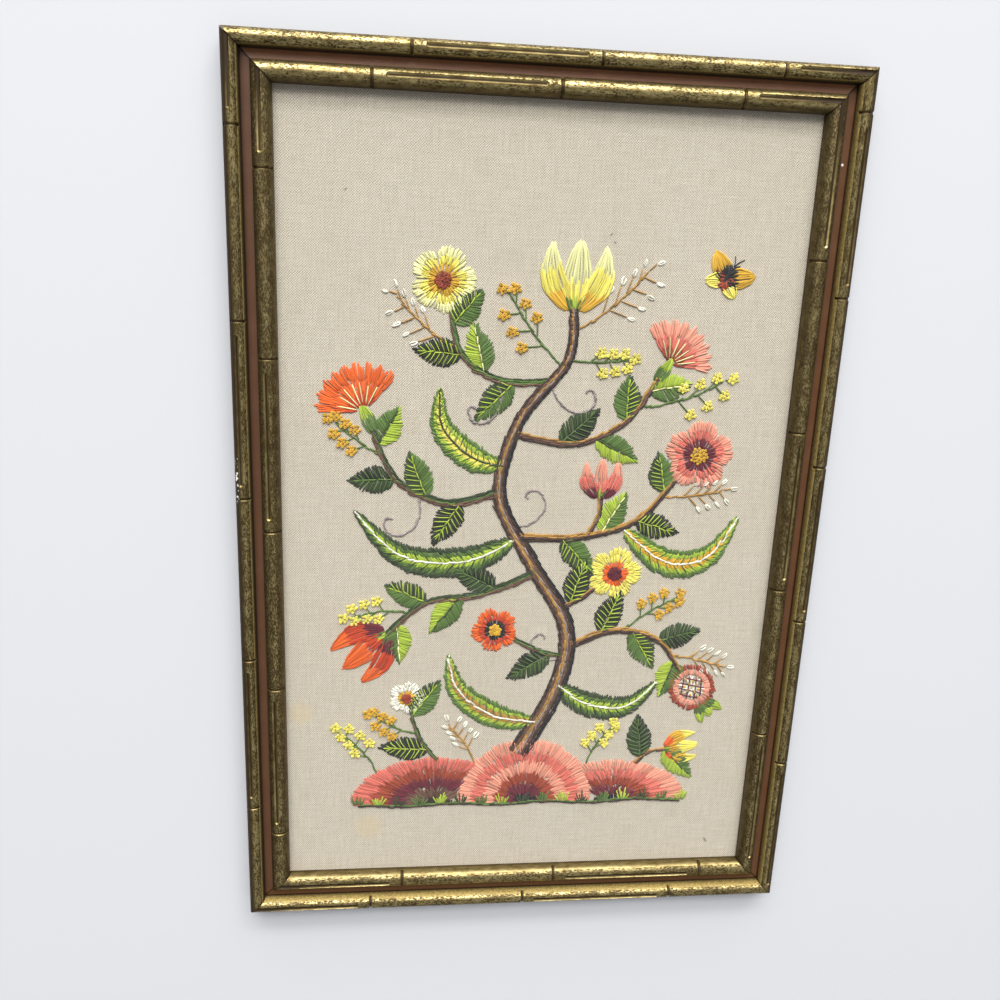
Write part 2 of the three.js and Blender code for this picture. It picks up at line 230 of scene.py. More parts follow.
# Stems from root to tip, the trunk first: width at each end, leaves and the side the first one grows on,
# and the bloom at the tip with its wools from the petals' edge inwards
STEMS = (
    dict(width=(15, 5), leaves=0, side=1, bloom="tulip", size=46, wools=("primrose", "lemon", "gold"),
         points=((-6, -178), (20, -128), (26, -78), (-2, -28), (-26, 20), (-14, 72), (16, 112), (18, 146))),
    dict(width=(6, 3), leaves=4, side=1, bloom="pomegranate", size=48, wools=("rust", "coral", "gold"),
         points=((24, -94), (60, -80), (94, -88), (112, -112))),
    dict(width=(6, 3), leaves=4, side=-1, bloom="tulip", size=42, wools=("orange", "flame", "maroon"),
         points=((2, -36), (-36, -52), (-74, -58), (-102, -82))),
    dict(width=(6, 3), leaves=4, side=-1, bloom="rose", size=50, wools=("coral", "salmon", "maroon"),
         points=((-12, -10), (30, -10), (70, 2), (96, 32))),
    dict(width=(6, 3), leaves=4, side=1, bloom="pink", size=48, wools=("orange", "orange", "flame"),
         points=((-26, 22), (-62, 14), (-96, 30), (-112, 64))),
    dict(width=(5, 3), leaves=4, side=1, bloom="pink", size=44, wools=("coral", "salmon", "rust"),
         points=((-16, 62), (24, 56), (58, 72), (78, 102))),
    dict(width=(5, 3), leaves=4, side=1, bloom="rose", size=44, wools=("primrose", "lemon", "gold"),
         points=((4, 98), (-28, 98), (-54, 114), (-62, 142))),
    dict(width=(4, 3), leaves=1, side=1, bloom="rose", size=40, wools=("lemon", "lemon", "orange"),
         points=((22, -62), (34, -56), (44, -48))),
    dict(width=(4, 3), leaves=1, side=1, bloom="rose", size=34, wools=("orange", "flame", "black"),
         points=((24, -100), (4, -94), (-12, -86))),
    dict(width=(4, 3), leaves=0, side=1, bloom="tulip", size=28, wools=("coral", "salmon", "maroon"),
         points=((36, -10), (44, 6), (44, 20))),
    dict(width=(3, 2), leaves=2, side=1, bloom="rose", size=26, wools=("cream", "cream", "gold"),
         points=((-64, -182), (-78, -162), (-84, -142))),
    dict(width=(3, 2), leaves=2, side=1, bloom="tulip", size=26, wools=("lemon", "gold", "orange"),
         points=((84, -188), (94, -178), (108, -176))),
)
BLOOM_TUCK = 2
TRUNK_BARK = ("black", "umber", "walnut", "taupe", "tan", "walnut", "umber")
BARKS = (("spruce", "moss", "walnut"), ("umber", "walnut", "tan"))
LEAF = dict(length=37, shrink=0.06, half_width=7.5, splay=0.85, first_at=0.25, last_at=0.88)
PLUMES = (
    dict(width=23, wools=("spruce", "moss", "lime"), points=((-14, -12), (-48, -28), (-92, -24), (-124, 8))),
    dict(width=22, wools=("moss", "lime", "gold"), points=((62, -4), (94, -28), (124, -24), (144, 6))),
    dict(width=20, wools=("moss", "lime", "lemon"), points=((-24, 40), (-46, 46), (-66, 66), (-68, 92))),
    dict(width=21, wools=("spruce", "moss", "lime"),
         points=((22, -122), (44, -138), (74, -140), (96, -120))),
    dict(width=21, wools=("moss", "lime", "tan"), points=((8, -152), (-24, -146), (-50, -126), (-58, -98))),
)
BUTTERFLY = dict(x=118, y=168, heading=-0.5, length=16, half_width=1.5, tail=7, feeler=(4, 7))
WINGS = (
    dict(turn=0.95, size=20, wools=("gold", "black")),
    dict(turn=-0.95, size=20, wools=("gold", "black")),
    dict(turn=2.15, size=14, wools=("lemon", "rust")),
    dict(turn=-2.15, size=14, wools=("lemon", "rust")),
)

# Sprigs grow from a stem, at a share of its length and turned from the way it runs, or from a place on
# the hillocks, turned from upright. Their tips are heads of knots or looped buds.
GOLD_HEADS = dict(twig="moss", tip="gold", kind="heads")
LEMON_HEADS = dict(twig="moss", tip="lemon", kind="heads")
CREAM_BUDS = dict(twig="tan", tip="cream", kind="buds")
SPRIGS = (
    dict(stem=0, at=0.93, turn=-1.15, length=60, bend=0.25, **CREAM_BUDS),
    dict(stem=0, at=0.84, turn=1.45, length=58, bend=-0.2, **GOLD_HEADS),
    dict(stem=0, at=0.86, turn=-1.35, length=40, bend=0.2, **LEMON_HEADS),
    dict(stem=6, at=0.72, turn=0.75, length=50, bend=-0.3, **CREAM_BUDS),
    dict(stem=5, at=0.78, turn=-0.95, length=58, bend=0.3, **LEMON_HEADS),
    dict(stem=3, at=0.85, turn=-0.95, length=44, bend=0.15, **CREAM_BUDS),
    dict(stem=4, at=0.82, turn=0.75, length=38, bend=-0.2, **GOLD_HEADS),
    dict(stem=2, at=0.78, turn=-0.9, length=40, bend=0.3, **LEMON_HEADS),
    dict(stem=1, at=0.4, turn=0.8, length=44, bend=-0.15, **GOLD_HEADS),
    dict(stem=1, at=0.82, turn=0.85, length=40, bend=-0.1, **CREAM_BUDS),
    dict(stem=10, at=0.55, turn=1.0, length=34, bend=-0.3, **GOLD_HEADS),
    dict(place=(-108, -191), turn=0.35, length=40, bend=0.35, **LEMON_HEADS),
    dict(place=(-36, -186), turn=0.3, length=36, bend=0.25, **CREAM_BUDS),
    dict(place=(46, -189), turn=-0.25, length=36, bend=-0.3, **LEMON_HEADS),
)
HEART_KNOTS = 26
HEAD_KNOTS = 11
HEAD_SPREAD = 1.12
BUD = dict(length=5.4, bow=0.85, width=1.25)

# Curled tendrils in stem stitch, placed as the sprigs are: size, and which way they curl
TENDRILS = (
    dict(stem=0, at=0.8, turn=-1.1, size=46, curl=-1),
    dict(stem=0, at=0.5, turn=-1.0, size=44, curl=-1),
    dict(stem=0, at=0.22, turn=1.0, size=40, curl=1),
    dict(stem=4, at=0.5, turn=1.2, size=46, curl=1),
    dict(stem=6, at=0.35, turn=1.2, size=44, curl=1),
)

# Tufts of grass along the hillocks' foot
GRASS = dict(first=-122, last=122, count=17, blades=7, length=10.0, fan=0.75)

# How a strand of wool lies: its width and height, how far apart strands are laid, how far their ends stray
# and how deep they dip into the cloth, and a knot's size
STRAND_WIDTH = 1.35
STRAND_HEIGHT = 0.95
STRAND_SPACING = 1.15
STRAND_STRAY = 0.45
STRAND_DIP = 0.25
KNOT_SIZE = 1.15

# The turn from one knot to the next in a round head, which spreads them evenly
GOLDEN_TURN = 2.4

rng = np.random.default_rng(11)


# Materials

def linear(hex_colour):
    """An sRGB hex colour as linear RGBA."""
    channels = [int(hex_colour[i:i + 2], 16) / 255 for i in (0, 2, 4)]
    return [c / 12.92 if c <= 0.04045 else ((c + 0.055) / 1.055) ** 2.4 for c in channels] + [1.0]


def per_mm(size):
    """The scale that makes a noise or cell pattern of this size in millimetres."""
    return 1 / (size * MM)


def bands_per_mm(pitch):
    """The scale that makes a band pattern of this pitch in millimetres."""
    return 2 * math.pi / 20 / (pitch * MM)


def plug(node, **sockets):
    """Gives a node's inputs, named with spaces as underscores or by number, their values or links. A node
    given as a value is linked from its first output in use."""
    for name, value in sockets.items():
        if name[1:].isdigit():
            socket = node.inputs[int(name[1:])]
        else:
            socket = next(s for s in node.inputs if s.enabled and s.name == name.replace("_", " "))
        if isinstance(value, bpy.types.Node):
            value = next(s for s in value.outputs if s.enabled)
        if isinstance(value, bpy.types.NodeSocket):
            node.id_data.links.new(value, socket)
        else:
            socket.default_value = value


def add_node(tree, kind, settings=None, **sockets):
    """Adds a node with its settings, values and links."""
    node = tree.nodes.new("ShaderNode" + kind)
    for name, value in (settings or {}).items():
        setattr(node, name, value)
    plug(node, **sockets)
    return node


def new_material(name):
    """A material, its shader, and add_node for its own tree."""
    material = bpy.data.materials.new(name)
    material.use_nodes = True
    tree = material.node_tree
    tree.nodes.clear()
    shader = add_node(tree, "BsdfPrincipled")
    add_node(tree, "OutputMaterial", Surface=shader)
    return material, shader, functools.partial(add_node, tree)


# Settings that many nodes share
OF_COLOURS = dict(data_type="RGBA", blend_type="MIX")
MULTIPLY = dict(operation="MULTIPLY")
MULTIPLY_ADD = dict(operation="MULTIPLY_ADD")
MAXIMUM = dict(operation="MAXIMUM")
COMPARE = dict(operation="COMPARE")
DISTANCE = dict(operation="DISTANCE")
RUN = dict(attribute_name="run")
DIRT_AND_SHADE = dict(attribute_name="recess")


def gilt_leaf():
    """Bronze-gold leaf on turned wood: pale where it shines, dull olive between, flecked with fine dark
    spatter, dirt in the cuts, dark toning and painted shade down the beads' sides, and a few chips down to
    the white ground on the left rail's outer edge."""
    material, shader, add = new_material("gilt_leaf")
    place = add("TexCoord").outputs["Object"]
    run = add("Attribute", RUN).outputs["Vector"]
    recess = add("Attribute", DIRT_AND_SHADE).outputs["Fac"]
    flank = add("Attribute", dict(attribute_name="flank")).outputs["Fac"]
    brushed = add("Mapping", Vector=run, Scale=(0.45, 1.0, 1.0))
    tone = add("TexNoise", Vector=brushed, Scale=per_mm(3.5), Detail=5.0, Roughness=0.65)
    sheer = add("MapRange", Value=tone, From_Min=0.3, From_Max=0.7)
    leaf = add("Mix", OF_COLOURS, Factor=sheer, A=linear("7C693D"), B=linear("D3C086"))
    spatter = add("TexNoise", Vector=brushed, Scale=per_mm(0.8), Detail=3.0, Roughness=0.65)
    cover = add("TexNoise", Vector=run, Scale=per_mm(11), Detail=2.0)
    patchy = add("Math", MULTIPLY_ADD, _0=cover, _1=0.24, _2=spatter)
    denser = add("Math", MULTIPLY_ADD, _0=flank, _1=0.08, _2=patchy)
    fleck = add("MapRange", Value=denser, From_Min=0.58, From_Max=0.7, To_Max=0.76)
    # Spatter, and the rail's dirt, toning and painted shade, darken the leaf
    dark = add("Math", MAXIMUM, _0=fleck, _1=recess)
    soiled_and_shaded = add("MapRange", Value=dark, From_Max=0.85)
    gold = add("Mix", OF_COLOURS, Factor=soiled_and_shaded, A=leaf, B=linear("33240F"))
    axes = add("SeparateXYZ", Vector=place)
    chip_edge = add("Math", COMPARE, _0=axes.outputs["X"], _1=CHIPS["x"] * MM, _2=CHIPS["half_width"] * MM)
    chip_run = add("Math", COMPARE, _0=axes.outputs["Y"], _1=CHIPS["y"] * MM, _2=CHIPS["half_length"] * MM)
    chip_noise = add("TexNoise", Vector=place, Scale=per_mm(2.6), Detail=2.0)
    chip_spots = add("MapRange", Value=chip_noise, From_Min=0.52, From_Max=0.6)
    chip_place = add("Math", MULTIPLY, _0=chip_edge, _1=chip_run)
    chip = add("Math", MULTIPLY, _0=chip_place, _1=chip_spots)
    colour = add("Mix", OF_COLOURS, Factor=chip, A=gold, B=linear("F2EEE4"))
    bare = add("Math", MAXIMUM, _0=dark, _1=chip)
    metal = add("MapRange", Value=bare, From_Min=0.6, To_Min=0.92, To_Max=0.0)
    rough = add("MapRange", Value=bare, To_Min=0.34, To_Max=0.6)
    relief = add("Bump", Strength=0.35, Distance=0.1 * MM, Height=spatter)
    plug(shader, Base_Color=colour, Metallic=metal, Roughness=rough, Normal=relief, Specular_IOR_Level=0.3)
    return material


def bronze_paint():
    """Bronze paint down the outer bead's side to the channel: duller than the leaf, so it takes the light
    that falls on it, with the leaf's mottle, near black at its foot, and on rails whose side is turned from
    the light darkened with painted shade."""
    material, shader, add = new_material("bronze_paint")
    run = add("Attribute", RUN).outputs["Vector"]
    recess = add("Attribute", DIRT_AND_SHADE).outputs["Fac"]
    mottle = add("TexNoise", Vector=run, Scale=per_mm(1.6), Detail=4.0, Roughness=0.65)
    sheer = add("MapRange", Value=mottle, From_Min=0.35, From_Max=0.65)
    paint = add("Mix", OF_COLOURS, Factor=sheer, A=linear("8A7440"), B=linear("C4AC69"))
    # Near black at the foot, and painted shade on the rails where this side is turned from the light
    colour = add("Mix", OF_COLOURS, Factor=recess, A=paint, B=linear("1D140B"))
    plug(shader, Base_Color=colour, Metallic=0.25, Roughness=0.55, Specular_IOR_Level=0.3)
    return material


def rust_lacquer():
    """Rust-brown satin lacquer in the channel: rubbed thin in places, near black in the quirk, darker next
    to it with dark paint and painted shade, darkened with painted shade at the inner bead's foot, and one
    speck of paint."""
    material, shader, add = new_material("rust_lacquer")
    place = add("TexCoord").outputs["Object"]
    recess = add("Attribute", DIRT_AND_SHADE).outputs["Fac"]
    rub = add("TexNoise", Vector=place, Scale=per_mm(14), Detail=5.0, Roughness=0.65)
    body = add("Mix", OF_COLOURS, Factor=rub, A=linear("865029"), B=linear("B07546"))
    # The quirk's dark, and painted shade next to it and at the inner bead's foot
    dirty_and_shaded = add("Mix", OF_COLOURS, Factor=recess, A=body, B=linear("17100B"))
    away = add("VectorMath", DISTANCE, _0=place, _1=[c * MM for c in PAINT_SPECK["place"]])
    speck = add("MapRange", Value=away, From_Min=PAINT_SPECK["radius"] * MM,
                From_Max=1.4 * PAINT_SPECK["radius"] * MM, To_Min=1.0, To_Max=0.0)
    colour = add("Mix", OF_COLOURS, Factor=speck, A=dirty_and_shaded, B=linear("EDE8E0"))
    rough = add("MapRange", Value=rub, To_Min=0.4, To_Max=0.6)
    plug(shader, Base_Color=colour, Roughness=rough, Specular_IOR_Level=0.6)
    return material


def bare_softwood():
    """Planed softwood on the frame's back and rebate: pale, with long grain lines."""
    material, shader, add = new_material("bare_softwood")
    run = add("Attribute", RUN).outputs["Vector"]
    drawn_out = add("Mapping", Vector=run, Scale=(0.03, 1.0, 1.0))
    grain = add("TexNoise", Vector=drawn_out, Scale=per_mm(1.8), Detail=4.0, Roughness=0.6)
    colour = add("Mix", OF_COLOURS, Factor=grain, A=linear("8A6A45"), B=linear("C2A077"))
    relief = add("Bump", Strength=0.2, Distance=0.2 * MM, Height=grain)
    plug(shader, Base_Color=colour, Roughness=0.7, Normal=relief)
    return material


def linen_twill():
    """Natural linen woven in twill: diagonal ribs crossed by fainter ones, slubby threads both ways,
    uneven cream to greige, with faint stains."""
    material, shader, add = new_material("linen_twill")
    place = add("TexCoord").outputs["Object"]
    turned = add("Mapping", Vector=place, Rotation=(0, 0, math.radians(-45)))
    ribs, crossing = (add("TexWave", dict(wave_type="BANDS", bands_direction=direction), Vector=turned,
                          Scale=bands_per_mm(1.15), Distortion=2.8, Detail=3.0, Detail_Scale=1.6)
                      for direction in ("Y", "X"))
    twill = add("Math", MULTIPLY_ADD, _0=crossing.outputs["Fac"], _1=0.7, _2=ribs.outputs["Fac"])
    warp, weft = (add("TexNoise", Vector=add("Mapping", Vector=place, Scale=drawn_out), Scale=per_mm(1.1),
                      Detail=3.0) for drawn_out in ((1.0, 0.06, 1.0), (0.06, 1.0, 1.0)))
    threads = add("Math", dict(operation="ADD"), _0=warp, _1=weft)
    weave = add("Math", MULTIPLY_ADD, _0=threads, _1=0.6, _2=twill)
    tone = add("TexNoise", Vector=place, Scale=per_mm(60), Detail=4.0)
    light = add("Mix", OF_COLOURS, Factor=tone, A=linear("DCD2C0"), B=linear("E2DCCB"))
    depth = add("MapRange", Value=weave, From_Min=0.65, From_Max=2.1)
    colour = add("Mix", OF_COLOURS, Factor=depth, A=linear("948770"), B=light)
    for stain in STAINS:
        away = add("VectorMath", DISTANCE, _0=place, _1=(stain["x"] * MM, stain["y"] * MM, LINEN_TOP * MM))
        ragged = add("Math", MULTIPLY_ADD, _0=tone, _1=-0.9 * stain["radius"] * MM, _2=away)
        soaked = add("MapRange", Value=ragged, From_Max=0.6 * stain["radius"] * MM, To_Min=0.4, To_Max=0.0)
        colour = add("Mix", OF_COLOURS, Factor=soaked, A=colour, B=linear("CDB88C"))
    relief = add("Bump", Strength=0.55, Distance=0.2 * MM, Height=weave)
    plug(shader, Base_Color=colour, Roughness=0.9, Sheen_Weight=0.15, Normal=relief)
    return material


def crewel_wool(name, hex_colour):
    """Two-ply crewel wool: soft, hairy and matt, its plies twisted, each strand a little lighter or
    darker."""
    material, shader, add = new_material("crewel_wool_" + name)
    shade = add("Attribute", dict(attribute_name="shade")).outputs["Fac"]
    strand = add("UVMap", dict(uv_map="strand"))
    place = add("TexCoord").outputs["Object"]
    twist = add("TexWave", dict(wave_type="BANDS", bands_direction="DIAGONAL"), Vector=strand,
                Scale=0.5, Distortion=1.2, Detail=2.0)
    hair = add("TexNoise", Vector=place, Scale=per_mm(0.35), Detail=2.0)
    base = linear(hex_colour)[:3]
    deep = [c * 0.62 for c in base] + [1.0]
    pale = [min(1.0, c * 1.18 + 0.015) for c in base] + [1.0]
    colour = add("Mix", OF_COLOURS, Factor=shade, A=deep, B=pale)
    fibre = add("Math", MULTIPLY_ADD, _0=twist.outputs["Fac"], _1=0.7, _2=hair)
    relief = add("Bump", Strength=0.6, Distance=0.18 * MM, Height=fibre)
    plug(shader, Base_Color=colour, Roughness=0.82, Sheen_Weight=0.2, Normal=relief)
    return material


def pressed_board():
    """Pressed fibre board behind the linen: brown and matt with short pale fibres."""
    material, shader, add = new_material("pressed_board")
    place = add("TexCoord").outputs["Object"]
    fibres = add("TexNoise", Vector=place, Scale=per_mm(1.6), Detail=5.0, Roughness=0.75)
    colour = add("Mix", OF_COLOURS, Factor=fibres, A=linear("6E5A43"), B=linear("A58E70"))
    relief = add("Bump", Strength=0.3, Distance=0.2 * MM, Height=fibres)
    plug(shader, Base_Color=colour, Roughness=0.88, Normal=relief)
    return material


def pale_floor():
    """A plain pale matt floor."""
    material, shader, _ = new_material("pale_floor")
    plug(shader, Base_Color=linear("D5D6D9"), Roughness=0.75)
    return material


# Modelling helpers

def deselect_all():
    """Leaves edit mode and deselects everything."""
    if bpy.context.object and bpy.context.object.mode != "OBJECT":
        bpy.ops.object.mode_set(mode="OBJECT")
    bpy.ops.object.select_all(action="DESELECT")


def make_active(obj):
    """Selects one object alone."""
    deselect_all()
    obj.select_set(True)
    bpy.context.view_layer.objects.active = obj


def select_points(obj, wanted):
    """In edit mode, selects the points that pass a test on their place, and the edges between them."""
    mesh = bmesh.from_edit_mesh(obj.data)
    for point in mesh.verts:
        point.select = wanted(point.co)
    mesh.select_flush(True)
    mesh.select_flush(False)
    bmesh.update_edit_mesh(obj.data)


def add_object(name, data):
    """A new object in the scene."""
    obj = bpy.data.objects.new(name, data)
    bpy.context.scene.collection.objects.link(obj)
    return obj


def apply_modifier(obj, kind, **settings):
    """Adds a modifier with its settings and applies it."""
    make_active(obj)
    modifier = obj.modifiers.new(kind.lower(), kind)
    for name, value in settings.items():
        setattr(modifier, name, value)
    bpy.ops.object.modifier_apply(modifier=modifier.name)


def shade_smooth(obj, degrees):
    """Shades an object smooth across edges that turn less than this."""
    make_active(obj)
    bpy.ops.object.shade_smooth_by_angle(angle=math.radians(degrees))


# The frame's rails, modelled along x with y inwards, then turned to their side of the frame

def draw_moulding(length):
    """The moulding's back, drawn out edge by edge round its section, with both ends mitred."""
    deselect_all()
    bpy.ops.mesh.primitive_plane_add(size=1)
    rail = bpy.context.object
    bpy.ops.object.mode_set(mode="EDIT")
    bpy.ops.mesh.select_mode(type="VERT")
    bpy.ops.mesh.select_all(action="SELECT")
    bpy.ops.transform.resize(value=(length, REBATE_U, 1))
    bpy.ops.transform.translate(value=(0, REBATE_U / 2, 0))
    select_points(rail, lambda co: co.y < NEAR)
    channel = CHANNEL_END - CHANNEL_START
    rise = INNER_BEAD["z"] - CHANNEL_Z
    steps = (
        ("extrude", (0, 0, OUTER_BEAD["z"])),
        ("spin", OUTER_BEAD),
        ("extrude", (0, 0, CHANNEL_Z + QUIRK - OUTER_BEAD["z"])),
        ("extrude", (0, 0, -QUIRK)),
        ("extrude", (0, QUIRK, rise * QUIRK / channel)),
        ("extrude", (0, channel - QUIRK, rise * (1 - QUIRK / channel))),
        ("spin", INNER_BEAD),
        ("extrude", (0, 0, LIP_Z - INNER_BEAD["z"])),
        ("extrude", (0, REBATE_U - INNER_BEAD["u"] - INNER_BEAD["radius"], 0)),
        ("extrude", (0, 0, -LIP_Z)),
    )
    for kind, how in steps:
        if kind == "extrude":
            bpy.ops.mesh.extrude_region_move(TRANSFORM_OT_translate=dict(value=how))
        else:
            bpy.ops.mesh.spin(steps=BEAD_STEPS, angle=math.pi, axis=(1, 0, 0),
                              center=(0, how["u"], how["z"]))
    bpy.ops.mesh.select_all(action="SELECT")
    bpy.ops.mesh.remove_doubles(threshold=0.01)
    for end in (-1, 1):
        for inset, cut_off in ((MITRE_GAP, True), (MITRE_GAP + MITRE_SEAM, False)):
            bpy.ops.mesh.select_all(action="SELECT")
            bpy.ops.mesh.bisect(plane_co=(end * (length / 2 - inset), 0, 0), plane_no=(end, 1, 0),
                                use_fill=cut_off, clear_outer=cut_off)
    bpy.ops.mesh.select_all(action="SELECT")
    bpy.ops.mesh.normals_make_consistent(inside=False)
    bpy.ops.object.mode_set(mode="OBJECT")
    return rail


def node_cutter(bead, along):
    """A half ring that cuts one node over the top of a bead."""
    deselect_all()
    bpy.ops.mesh.primitive_torus_add(
        location=(along, bead["u"], bead["z"]), rotation=(0, math.pi / 2, 0),
        major_radius=bead["radius"] + NODE_ROUND - NODE_DEPTH, minor_radius=NODE_ROUND,
        major_segments=64, minor_segments=12)
    bpy.ops.object.transform_apply(location=True, rotation=True, scale=True)
    bpy.ops.object.mode_set(mode="EDIT")
    bpy.ops.mesh.select_all(action="SELECT")
    bpy.ops.mesh.bisect(plane_co=(0, 0, bead["z"] + INSIDE), plane_no=(0, 0, -1), use_fill=True,
                        clear_outer=True)
    bpy.ops.object.mode_set(mode="OBJECT")
    return bpy.context.object


def flute_cutter(bead, middle):
    """A long round-ended bar that cuts the flute of one bamboo length."""
    reach = bead["radius"] + FLUTE_ROUND - FLUTE_DEPTH
    centre = (middle, bead["u"] - reach * math.sin(FLUTE_LEAN), bead["z"] + reach * math.cos(FLUTE_LEAN))
    stretch = NODE_PITCH / 2 - FLUTE_MARGIN - FLUTE_ROUND
    deselect_all()
    bpy.ops.mesh.primitive_uv_sphere_add(segments=20, ring_count=11, radius=FLUTE_ROUND, location=centre,
                                         rotation=(0, math.pi / 2, 0))
    bpy.ops.object.transform_apply(location=True, rotation=True, scale=True)
    cutter = bpy.context.object
    bpy.ops.object.mode_set(mode="EDIT")
    for end in (-1, 1):
        select_points(cutter, lambda co: end * (co.x - middle) > INSIDE)
        bpy.ops.transform.translate(value=(end * stretch, 0, 0))
    bpy.ops.object.mode_set(mode="OBJECT")
    return cutter


def bamboo_cutters(rail):
    """Every node and flute that falls on one rail, joined into one cutter."""
    cutters = []
    for bead in BEADS:
        reach = rail["length"] / 2 - bead["u"]
        count = math.ceil(rail["length"] / NODE_PITCH)
        for i in range(-count, count + 1):
            along = rail["node"] + bead["node_lead"] + i * NODE_PITCH
            middle = along + NODE_PITCH / 2
            if abs(along) < reach - CORNER_MARGIN:
                cutters.append(node_cutter(bead, along))
            if i % 2 == 0 and abs(middle) < reach + NODE_PITCH / 2 - FLUTE_MARGIN - CORNER_MARGIN:
                cutters.append(flute_cutter(bead, middle))
    deselect_all()
    for cutter in cutters:
        cutter.select_set(True)
    bpy.context.view_layer.objects.active = cutters[0]
    bpy.ops.object.join()
    return bpy.context.object


def wear_and_shade_moulding(mesh, rail):
    """Gives each point how dark dirt, toning, painted shade or a seam makes it (the darkening attribute),
    how much spatter it has (flank: more down a bead's sides, little in the cuts and facing the linen) and
    where it is along the rail and round its section (run)."""
    co = np.empty(len(mesh.vertices) * 3)
    mesh.vertices.foreach_get("co", co)
    s, u, z = co.reshape(-1, 3).T
    recess = np.zeros(len(s))
    flank = np.zeros(len(s))
    for bead in BEADS:
        across = (u - bead["u"]) / bead["radius"]
        on_bead = (np.abs(u - bead["u"]) < bead["radius"] + INSIDE) & (z > bead["z"] - NEAR)
        depth = bead["radius"] - np.hypot(u - bead["u"], z - bead["z"])
        along = s - rail["node"] - bead["node_lead"]
        from_node = (along + NODE_PITCH / 2) % NODE_PITCH - NODE_PITCH / 2
        in_node = np.abs(from_node) < NODE_ROUND + INSIDE
        deep = np.where(in_node, depth / NODE_DEPTH, depth / FLUTE_DEPTH)
        recess[on_bead] = np.clip((deep - DIRT_SHARE) / (1 - DIRT_SHARE), 0, 1)[on_bead]
        spread = np.where(deep > CUT_SHARE, NO_SPATTER, rail[bead["spatter"]] + across ** 2)
        flank[on_bead] = spread[on_bead]
        # Toning and painted shade down the bead's sides, heavier where the rail's side gets less light
        for tone in TONING_AND_SHADE:
            if tone["bead"] is bead:
                share = np.clip((tone["side"] * across - tone["start"]) / (1 - tone["start"]), 0, 1)
                toned_and_shaded = np.maximum(recess, rail[tone["amount"]] * share ** TONING_AND_SHADE_CURVE)
                recess[on_bead] = toned_and_shaded[on_bead]
    faces_linen = u > INNER_BEAD["u"] + LINEN_SHARE * INNER_BEAD["radius"]
    flank[faces_linen] = rail["linen_spatter"]
    recess[(u < NEAR) | (faces_linen & (z < INNER_BEAD["z"] - NEAR))] = EDGE_TONE
    # The channel's floor next to the outer bead's wall: its dark quirk deepened with painted shade
    recess[np.abs(u - CHANNEL_START - QUIRK) < NEAR] = rail["quirk_dark_and_shade"]
    # The outer bead's side to the channel: near black at its foot, and painted shade up it on rails where it
    # is turned from the light
    side = np.abs(u - CHANNEL_START) < NEAR
    recess[side] = np.interp(z[side], (CHANNEL_Z, CHANNEL_Z + QUIRK, OUTER_BEAD["z"]),
                             (1.0, max(FOOT_TONE, rail["wall_painted_shade"]), rail["wall_painted_shade"]))
    to_mitre = rail["length"] / 2 - MITRE_GAP - np.abs(s) - u
    recess = np.maximum(recess, np.clip(1 - to_mitre / MITRE_SEAM, 0, 1))
    run = np.stack([s + rail["turns"] * rail["length"], u, z], axis=-1) * MM
    for name, kind, field, values in (
            ("recess", "FLOAT", "value", recess),
            ("flank", "FLOAT", "value", flank),
            ("run", "FLOAT_VECTOR", "vector", run)):
        mesh.attributes.new(name, kind, "POINT").data.foreach_set(field, values.astype(np.float32).ravel())


def finish_faces(mesh):
    """Gives each face of a rail its finish, where that isn't gilt."""
    for face in mesh.polygons:
        middle = face.center
        beyond = middle.y - CHANNEL_START - INSIDE
        in_channel = 0 < beyond and middle.y < CHANNEL_END + INSIDE and middle.z < OUTER_BEAD["z"]
        if in_channel and face.normal.z > -NEAR:
            face.material_index = LACQUER
        elif -PAINTED_SIDE < beyond <= 0 and middle.z > CHANNEL_Z:
            face.material_index = PAINT
        elif middle.z < LIP_Z - NEAR and face.normal.y > 0.5 or face.normal.z < -0.9:
            face.material_index = WOOD


def build_rail(rail, finishes):
    """One mitred length of moulding with its bamboo cuts, set at its side of the frame."""
    obj = draw_moulding(rail["length"])
    cutter = bamboo_cutters(rail)
    apply_modifier(obj, "BOOLEAN", operation="DIFFERENCE", solver="EXACT", object=cutter)
    bpy.data.objects.remove(cutter)
    for finish in finishes:
        obj.data.materials.append(finish)
    wear_and_shade_moulding(obj.data, rail)
    finish_faces(obj.data)
    shade_smooth(obj, RAIL_SMOOTH)
    half_span = FRAME_WIDTH / 2 if rail["turns"] % 2 else FRAME_HEIGHT / 2
    place = Matrix.Rotation(rail["turns"] * math.pi / 2, 4, "Z") @ Matrix.Translation((0, -half_span, 0))
    obj.data.transform(Matrix.Scale(MM, 4) @ place)
    obj.name = "gilt_" + rail["name"]
    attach(obj, "root")
    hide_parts(rail["name"])


# The linen

def linen_height(x, y):
    """The stretched cloth's face, with the slight waves that stitching draws into it."""
    wave = np.sin(x / 23 + 0.7 * np.sin(y / 41)) * np.sin(y / 31 + 1.3) + 0.6 * np.sin(x / 9.5 + y / 13)
    return LINEN_TOP - LINEN_SINK + LINEN_WAVE * wave


